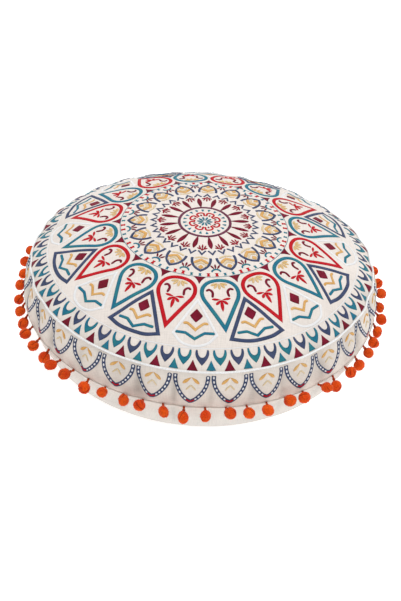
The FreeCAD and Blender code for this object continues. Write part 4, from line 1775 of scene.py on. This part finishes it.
@dataclass
class Zipper:
    """Coil zipper round the back of the base panel."""

    shape: CushionShape
    middle: Pair = (0.28603, 0.047)  # radius and height of the slot's middle
    uphill: Pair = (0.4158, 0.9094)  # direction up the panel there
    half_angle: float = math.radians(50.0)
    tape_overhang: float = math.radians(1.5)
    coil_setback: float = math.radians(2.0)
    centre_gap: float = 0.0007  # from the middle to the coils
    tape_width: float = 0.0120
    tape_setback: float = 0.0004
    tape_front: float = -0.00145  # depth of the tape's face below the panel's outside
    tape_thickness: float = 0.0006
    coil_width: float = 0.0026
    coil_height: float = 0.0020
    coil_foot: float = -0.0014
    wire: float = 0.00033
    pitch: float = 0.00130
    stitch_offset: float = 0.0063
    hard_bevel: float = 0.00018

    def _point(self, along: Array, across: Array, turn: Array) -> Array:
        """Points beside the slot.

        Args:
            along: distances up the panel from the slot's middle.
            across: distances out from the panel's outside.
            turn: azimuths.

        Returns:
            Points in the row frame.
        """
        radius = self.middle[0] + along * self.uphill[0] + across * self.uphill[1]
        return around(radius, turn, self.middle[1] + along * self.uphill[1] - across * self.uphill[0])

    def _span(self, overhang: float, count: int) -> Array:
        """Azimuths along the zipper, past each end of its slot by an angle."""
        half = self.half_angle + overhang
        return np.linspace(self.shape.back - half, self.shape.back + half, count)

    def _tape(self, side: int, node: str, finish: TapeFinish) -> Thing:
        """Woven tape on one side of the slot.

        Args:
            side: 1 for the upper tape, -1 for the lower one.
            node: the CAD node that it replaces.
            finish: its weave.

        Returns:
            The piece.
        """
        turn = self._span(self.tape_overhang, 400)
        share = np.linspace(0.0, 1.0, 12)
        across = np.concatenate([share, share[::-1]])
        depth = self.tape_front - self.tape_thickness * np.repeat([0.0, 1.0], len(share))
        near, width = self.centre_gap + self.tape_setback, self.tape_width - self.tape_setback
        rows = [self._point(side * (near + width * reach), level, turn)
                for reach, level in zip(across, depth)]
        flats = [np.stack([turn * self.middle[0] / MM, np.full(len(turn), 12.0 * reach)], axis=1)
                 for reach in across]
        faces = grid_faces(len(rows), len(turn), closed_rows=True)
        ends = [np.arange(len(rows)) * len(turn) + column for column in (0, len(turn) - 1)]
        caps = [np.stack([end[:len(share) - 1], end[1:len(share)], end[::-1][1:len(share)],
                          end[::-1][:len(share) - 1]], axis=1) for end in ends]
        caps[1] = caps[1][:, ::-1]
        blocks = [faces, *caps]
        draft = MeshDraft()
        draft.add(np.vstack(rows), flipped(blocks) if side < 0 else blocks, np.vstack(flats))
        return settle(draft.build(f"{node}_weave", finish.material()), CUSHION_BODY, node, "zipper_tape")

    def _coil(self, side: int, node: str, finish: NylonFinish) -> Thing:
        """Row of coil teeth on one side of the slot.

        Args:
            side: 1 for the upper row, -1 for the lower one.
            node: the CAD node that it replaces.
            finish: the nylon.

        Returns:
            The piece.
        """
        half = self.half_angle - self.coil_setback
        turns = int(2 * half * self.middle[0] / self.pitch)
        winding = np.linspace(0.0, TURN * turns, 12 * turns)
        turn = self._span(-self.coil_setback, len(winding))
        phase = winding + (math.pi if side > 0 else 0.0)
        wide, high = self.coil_width / 2 - self.wire, self.coil_height / 2 - self.wire
        along = side * (self.centre_gap + self.coil_width / 2 + wide * np.cos(phase))
        across = self.coil_foot + self.coil_height / 2 + high * np.sin(phase)
        draft = MeshDraft()
        draft.add(*tube(self._point(along, across, turn), self.wire, 6))
        return settle(draft.build(f"{node}_turns", finish.material()), CUSHION_BODY, node, "zipper_coil")

    def _stitches(self, finish: YarnFinish) -> Thing:
        """Two rows of lockstitch that hold the tapes.

        Args:
            finish: the thread.

        Returns:
            The piece.
        """
        turn = self._span(math.radians(1.0), 600)
        draft = MeshDraft()
        for side in (1.0, -1.0):
            run = self.shape.zip_run + side * self.stitch_offset
            flat = run * around(1.0, turn)
            line, above = (self.shape.place(flat, lift, False) for lift in (0.0002, 0.0012))
            StitchRow().add(draft, line, (above - line) / 0.001)
        piece = draft.build("zipper_stitches", finish.material())
        return settle(piece, CUSHION_BODY, "zipper_stitching", "sewing_thread")

    def _hard(self, node: str, body: str, material: bpy.types.Material) -> Thing:
        """Metal part with its edges rounded off.

        Args:
            node: the CAD node that it replaces.
            body: the body that it rides on.
            material: its metal.

        Returns:
            The piece.
        """
        work = bmesh.new()
        work.from_mesh(frame["nodes"][node].data)
        work.transform(frame["nodes"][node].matrix_world)
        bmesh.ops.remove_doubles(work, verts=work.verts, dist=1e-6)
        bmesh.ops.dissolve_limit(work, angle_limit=math.radians(1.0), verts=work.verts, edges=work.edges)
        sharp = [edge for edge in work.edges if edge.is_manifold and edge.calc_face_angle(0.0) > math.radians(35)]
        bmesh.ops.bevel(work, geom=sharp, offset=self.hard_bevel, segments=2, affect="EDGES", clamp_overlap=True)
        bmesh.ops.triangulate(work, faces=work.faces)
        mesh = bpy.data.meshes.new(f"{node}_polished")
        work.to_mesh(mesh)
        work.free()
        tone = mesh.attributes.new("tone", "FLOAT", "POINT")
        tone.data.foreach_set("value", np.ones(len(mesh.vertices), np.float32))
        mesh.materials.append(material)
        piece = bpy.data.objects.new(mesh.name, mesh)
        bpy.context.scene.collection.objects.link(piece)
        return settle(piece, body, node, "zipper_metal")

    def build(self, tape: TapeFinish, nylon: NylonFinish, thread: YarnFinish, metal: MetalFinish
              ) -> list[Thing]:
        """Make the whole zipper.

        Args:
            tape: finish of the tapes.
            nylon: finish of the coils.
            thread: finish of the stitches.
            metal: finish of the slider, its pull tab and the stops.

        Returns:
            Its pieces.
        """
        plated = metal.material()
        return [self._tape(1, "zipper_tape_upper", tape), self._tape(-1, "zipper_tape_lower", tape),
                self._coil(1, "zipper_coil_upper", nylon), self._coil(-1, "zipper_coil_lower", nylon),
                self._stitches(thread), self._hard("zipper_slider", "slider", plated),
                self._hard("zipper_pull_tab", "pull_tab", plated),
                self._hard("zipper_top_stop", CUSHION_BODY, plated),
                self._hard("zipper_bottom_stop", CUSHION_BODY, plated)]


@dataclass
class ShoulderCord:
    """White twisted cord, couched in a ring on the shoulder of the top panel."""

    shape: CushionShape
    run: float = 0.3024  # distance of the cord from the middle of the cloth
    strands: int = 3
    strand_radius: float = 0.00096
    twist_radius: float = 0.00080
    pitch: float = 0.0105
    sides: int = 6

    def build(self, finish: YarnFinish) -> Thing:
        """Make the cord.

        Args:
            finish: its yarn.

        Returns:
            The piece, on the cushion's body, in place of the CAD cord.
        """
        draft = MeshDraft()
        turns = round(TURN * self.run / self.pitch)
        count = turns * 9
        angle = even_turn(count)
        for strand in range(self.strands):
            twist = angle * turns + strand * TURN / self.strands
            run = self.run + self.twist_radius * np.cos(twist)
            lift = self.strand_radius + self.twist_radius * (1.0 + np.sin(twist)) - 0.0004
            line = self.shape.place(around(run, angle), lift)
            draft.add(*tube(line, self.strand_radius, self.sides, closed=True))
        cord = draft.build("shoulder_cord_strands", finish.material())
        return settle(cord, CUSHION_BODY, "shoulder_cord", "white_cord")


# ---- pom-poms ----
@dataclass
class PomPomTrim:
    """The pom-poms of the trim: each pom-pom's knot, stem and ball."""

    variants: int = 8
    tufts: int = 210
    tuft_depth: float = 0.13
    partings: int = 2
    parting_depth: float = 0.20
    lump: float = 0.05
    hairs: int = 60
    stem_radius: float = 0.0010
    collar_radius: float = 0.0018  # yarn wound round the stem where it meets the ball
    collar_turns: int = 3
    loops: int = 3  # turns of yarn round the hinge, at the seam
    loop_radius: float = 0.00110
    seed: int = 5  # start of the random sequence that varies them

    def __post_init__(self) -> None:
        """Make the yarn balls that the pom-poms are copied from."""
        self.chance = np.random.default_rng(self.seed)
        self.sphere_points, self.sphere_faces = self._sphere(5)
        self.balls = [self._ball() for _ in range(self.variants)]

    @staticmethod
    def _sphere(divisions: int) -> tuple[Array, Array]:
        """Even sphere of triangles, of radius 1.

        Args:
            divisions: times that each edge is halved.

        Returns:
            Its vertices and faces.
        """
        work = bmesh.new()
        bmesh.ops.create_icosphere(work, subdivisions=divisions, radius=1.0)
        points = np.array([vertex.co for vertex in work.verts])
        faces = np.array([[vertex.index for vertex in face.verts] for face in work.faces])
        work.free()
        return points, faces

    def _ball(self) -> tuple[Array, Array]:
        """Trimmed yarn ball of radius 1, with its tufts and the partings between them.

        Returns:
            Its vertices, and a tone with painted shade in its hollows, times a random tone for each tuft.
        """
        number = np.arange(self.tufts) + 0.5
        polar = np.arccos(1.0 - 2.0 * number / self.tufts)
        around = number * math.pi * (1.0 + math.sqrt(5.0))
        tufts = np.stack([np.sin(polar) * np.cos(around), np.sin(polar) * np.sin(around), np.cos(polar)], axis=1)
        tufts += self.chance.normal(0.0, 0.045, tufts.shape)
        near = self.sphere_points @ unit(tufts).T
        nearest = near.argmax(axis=1)
        gap = np.arccos(np.clip(near.max(axis=1), -1.0, 1.0)) / math.sqrt(4.0 * math.pi / self.tufts)
        hollow = self.tuft_depth * np.clip(gap, 0.0, 0.8) ** 2
        for _ in range(self.partings):
            pole, start = self._direction(), self._direction()
            side = ease(self.sphere_points @ start, -0.2, 0.5)
            wander = 0.10 * np.sin(5.0 * self.sphere_points @ start)
            hollow += self.parting_depth * side * np.exp(-(((self.sphere_points @ pole) + wander) / 0.055) ** 2)
        reach = 1.0 + self.chance.normal(0.0, 0.020, self.tufts)[nearest] - hollow
        for _ in range(3):
            reach += self.lump * np.sin(2.6 * (self.sphere_points @ self._direction()) + self.chance.uniform(0, TURN))
        # painted shade in the hollows and partings, times a random tone for each tuft
        tone = np.clip(1.06 - 4.2 * hollow, 0.30, 1.0) * self.chance.normal(1.0, 0.05, self.tufts)[nearest]
        return self.sphere_points * (reach / np.percentile(reach, 98.0))[:, None], tone

    def _direction(self) -> Array:
        """A random direction."""
        return unit(self.chance.normal(0.0, 1.0, 3))

    @staticmethod
    def _islands(thing: Thing) -> list[Array]:
        """Vertices of each separate solid of a CAD node.

        Args:
            thing: the node's object.

        Returns:
            One array of points for each solid.
        """
        work = bmesh.new()
        work.from_mesh(thing.data)
        bmesh.ops.remove_doubles(work, verts=work.verts, dist=1e-6)
        found, seen = [], set()
        for vertex in work.verts:
            if vertex in seen:
                continue
            seen.add(vertex)
            pool, island = [vertex], []
            while pool:
                here = pool.pop()
                island.append(tuple(here.co))
                for edge in here.link_edges:
                    other = edge.other_vert(here)
                    if other not in seen:
                        seen.add(other)
                        pool.append(other)
            found.append(np.array(island))
        work.free()
        return found

    @staticmethod
    def _measure(points: Array, hinge: Array) -> tuple[Array, Array, float]:
        """Knot, middle of the ball and its radius, from the vertices of one CAD pom-pom.

        Args:
            points: the vertices.
            hinge: point on the pair's hinge.

        Returns:
            The knot, the ball's middle and the ball's radius.
        """
        nearness = np.hypot(points[:, 0], points[:, 1]) + np.abs(points[:, 2] - hinge[2])
        knot = points[np.argsort(nearness)[:40]].mean(axis=0)
        away = np.linalg.norm(points - knot, axis=1)
        ball = points[away > 0.45 * away.max()]
        system = np.hstack([2.0 * ball, np.ones((len(ball), 1))])
        answer = np.linalg.lstsq(system, (ball ** 2).sum(axis=1), rcond=None)[0]
        middle = answer[:3]
        return knot, middle, math.sqrt(float(answer[3] + middle @ middle))

    def build(self, finish: YarnFinish) -> list[Thing]:
        """Make every pair of pom-poms.

        Args:
            finish: their yarn.

        Returns:
            The pieces, each on its own pair's body, in place of its CAD node.
        """
        material = finish.material()
        made = []
        for joint in frame["joints"]:
            if not joint["child"].startswith("pompoms_"):
                continue
            node = joint["child"].replace("pompoms", "pompom_pair")
            draft = MeshDraft()
            for island in self._islands(frame["nodes"][node]):
                self._pompom(draft, *self._measure(island, np.array(joint["pos_m"])))
            made.append(settle(draft.build(f"yarn_{node}", material), joint["child"], node, "pompom_yarn"))
        return made

    def _pompom(self, draft: MeshDraft, knot: Array, middle: Array, radius: float) -> None:
        """Add one pom-pom.

        Args:
            draft: where it is added.
            knot: where its stem leaves the seam.
            middle: middle of the ball.
            radius: radius of the ball.
        """
        hang = unit(middle - knot)
        beside = np.array([-middle[1], middle[0], 0.0])
        beside = unit(beside - (beside @ hang) * hang)
        turn = np.stack([beside, np.cross(hang, beside), hang], axis=1)
        size = radius * np.array([self.chance.uniform(1.00, 1.08), self.chance.uniform(0.93, 0.98),
                                  self.chance.uniform(1.04, 1.16)])
        ball, tone = self.balls[int(self.chance.integers(self.variants))]
        tumble = np.array(Matrix.Rotation(self.chance.uniform(0.0, TURN), 3, "X")
                          @ Matrix.Rotation(self.chance.uniform(0.0, TURN), 3, "Z"))
        points = ((ball @ tumble.T) * size) @ turn.T + middle
        draft.add(points, [self.sphere_faces], tone=tone * self.chance.uniform(0.82, 1.0))
        self._hairs(draft, middle, radius)
        self._stem(draft, knot, middle - hang * radius * 0.8, beside)
        self._collar(draft, middle - hang * radius * 1.10, turn)

    def _collar(self, draft: MeshDraft, middle: Array, turn: Array) -> None:
        """Add the yarn wound round the neck of a ball.

        Args:
            draft: where it is added.
            middle: middle of the winding.
            turn: rotation that takes +Z to the direction in which the ball hangs.
        """
        angle = np.linspace(0.0, TURN * self.collar_turns, 14 * self.collar_turns)
        rise = (angle / angle[-1] - 0.5) * self.collar_turns * 0.00105
        line = around(self.collar_radius, angle, rise)
        draft.add(*tube(line @ turn.T + middle, 0.00062, 6), tone=0.50)

    def _hairs(self, draft: MeshDraft, middle: Array, radius: float) -> None:
        """Add the loose fibres that stand off a ball.

        Args:
            draft: where they are added.
            middle: middle of the ball.
            radius: radius of the ball.
        """
        root = unit(self.chance.normal(0.0, 1.0, (self.hairs, 3)))
        lean = self.chance.normal(0.0, 0.5, (self.hairs, 3))
        length = self.chance.uniform(0.10, 0.24, self.hairs) * radius
        for start, sway, reach in zip(root, lean, length):
            share = np.linspace(0.0, 1.0, 4)[:, None]
            line = middle + start * radius * 0.97 + (start * share + sway * share ** 2 * 0.6) * reach
            draft.add(*tube(line, np.array([0.00009, 0.00008, 0.00006, 0.00002]), 3))

    def _stem(self, draft: MeshDraft, knot: Array, end: Array, beside: Array) -> None:
        """Add a stem of two twisted yarns, looped round its root.

        Args:
            draft: where it is added.
            knot: middle of the loop at the seam, on the pair's hinge.
            end: where the stem enters the ball.
            beside: direction of the hinge.
        """
        length = float(np.linalg.norm(end - knot))
        share = np.linspace(0.0, 1.0, 22)[:, None]
        ahead = (end - knot) / length
        side = np.cross(ahead, beside)
        for strand in (0.0, math.pi):
            twist = share[:, 0] * length / 0.0052 * TURN + strand
            offset = (np.outer(np.cos(twist), side) + np.outer(np.sin(twist), beside)) * self.stem_radius * 0.8
            draft.add(*tube(knot + (end - knot) * share + offset, self.stem_radius, 6), tone=0.62)
        angle = np.linspace(0.0, TURN * self.loops, 14 * self.loops)
        out = np.outer(np.cos(angle), ahead) + np.outer(np.sin(angle), side)
        line = knot + out * self.loop_radius + np.outer(angle / angle[-1] - 0.5, beside) * self.loops * 0.0010
        draft.add(*tube(line, 0.00056, 6), tone=0.50)


# ---- stage ----
@dataclass
class Stage:
    """Floor, light and camera."""

    elevation: float = 38.27  # degrees above the horizon
    roll: float = 3.68
    distance: float = 1.7767
    lens: float = 61.0
    target: tuple[float, float, float] = (0.00125, 0.0, 0.0568)
    floor_size: float = 60.0
    floor_glow: float = 0.45  # light of the floor itself, as on a lit sweep
    sky: float = 0.72

    def build(self) -> None:
        """Make the whole stage."""
        self._camera()
        self._floor()
        self._light()

    def _camera(self) -> None:
        """Look down at the cushion from its front, slightly rolled."""
        lift, roll = math.radians(self.elevation), math.radians(self.roll)
        level, up = Vector((1, 0, 0)), Vector((0, math.sin(lift), math.cos(lift)))
        back = Vector((0, -math.cos(lift), math.sin(lift)))
        right = level * math.cos(roll) + up * math.sin(roll)
        above = up * math.cos(roll) - level * math.sin(roll)
        data = bpy.data.cameras.new("camera")
        data.lens, data.sensor_width = self.lens, 36.0
        camera = bpy.data.objects.new("camera", data)
        turn = Matrix((right, above, back)).transposed().to_4x4()
        camera.matrix_world = Matrix.Translation(Vector(self.target) + back * self.distance) @ turn
        bpy.context.scene.collection.objects.link(camera)
        bpy.context.scene.camera = camera

    def _floor(self) -> None:
        """Plain pale floor."""
        draft = MeshDraft()
        half = self.floor_size / 2
        corners = np.array([(-half, -half, 0), (half, -half, 0), (half, half, 0), (-half, half, 0)], float)
        draft.add(corners, [np.array([[0, 1, 2, 3]])])
        shader = Shader("floor_paper", Coordinates.OBJECT)
        shader.colour(shader.blend(shader.noise(0.8, 1.0), grey(0.94), grey(0.95)))
        shader.set(Roughness=0.9, Specular_IOR_Level=0.1, Emission_Color=(1.0, 1.0, 1.0),
                   Emission_Strength=self.floor_glow)
        floor = draft.build("floor", shader.material)

    def _light(self) -> None:
        """White surroundings and soft lamps overhead."""
        world = bpy.data.worlds.new("studio")
        world.use_nodes = True
        world.node_tree.nodes["Background"].inputs["Color"].default_value = (1.0, 1.0, 1.0, 1.0)
        world.node_tree.nodes["Background"].inputs["Strength"].default_value = self.sky
        bpy.context.scene.world = world
        for name, place, size, power in (("key_lamp", (-0.15, 0.5, 2.6), 1.2, 30.0),
                                         ("fill_lamp", (1.6, -1.0, 2.0), 2.0, 12.0)):
            data = bpy.data.lights.new(name, "AREA")
            data.shape, data.size, data.energy = "DISK", size, power
            lamp = bpy.data.objects.new(name, data)
            lamp.location = place
            lamp.rotation_euler = (Vector((0, 0, 0.1)) - Vector(place)).to_track_quat("-Z", "Y").to_euler()
            bpy.context.scene.collection.objects.link(lamp)
        bpy.context.scene.view_settings.view_transform = "Standard"


def report(pieces: Iterable[Thing]) -> None:
    """Log each piece with its body and size.

    Args:
        pieces: the pieces just made.
    """
    for piece in pieces:
        LOG.info("%s on %s, %d faces", piece.name, piece.get("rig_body"), len(piece.data.polygons))


def main() -> None:
    """Build the cushion, then the stage."""
    logging.basicConfig(level=logging.INFO, format="%(name)s: %(message)s")
    Stage().build()
    shape = CushionShape()
    ClothRun(shape).run()
    sewing = YarnFinish("sewing_thread", (0.84, 0.82, 0.78), (0.78, 0.75, 0.70))
    report([CoverPanel(shape, True, "cover_top", "top_panel", "embroidered_cotton").build(
        CanvasFinish("embroidered_cotton", COTTON))])
    report([CoverPanel(shape, False, "cover_base", "bottom_panel", "plain_cotton", inner_step=0.0042).build(
        CanvasFinish("plain_cotton", BASE_COTTON))])
    report([ShoulderCord(shape).build(YarnFinish("white_cord", grey(0.93), grey(0.90)))])
    report(Embroidery(shape, Mandala()).build())
    report([TrimTape().build(TapeFinish("trim_tape", (0.74, 0.69, 0.62))), SeamStitches().build(sewing)])
    report(Insert(shape).build(FibreFinish("insert_fabric", (0.86, 0.86, 0.87), 900.0, 0.0002),
                               FibreFinish("filling", grey(0.90), 260.0, 0.0020)))
    report(Zipper(shape).build(TapeFinish("zipper_tape", (0.80, 0.76, 0.69)),
                               NylonFinish("zipper_coil", (0.80, 0.77, 0.70)), sewing,
                               MetalFinish("zipper_metal", (0.62, 0.61, 0.60))))
    report(PomPomTrim().build(YarnFinish("pompom_yarn", (0.90, 0.105, 0.006), (0.70, 0.050, 0.004))))


if __name__ == "__main__":
    main()
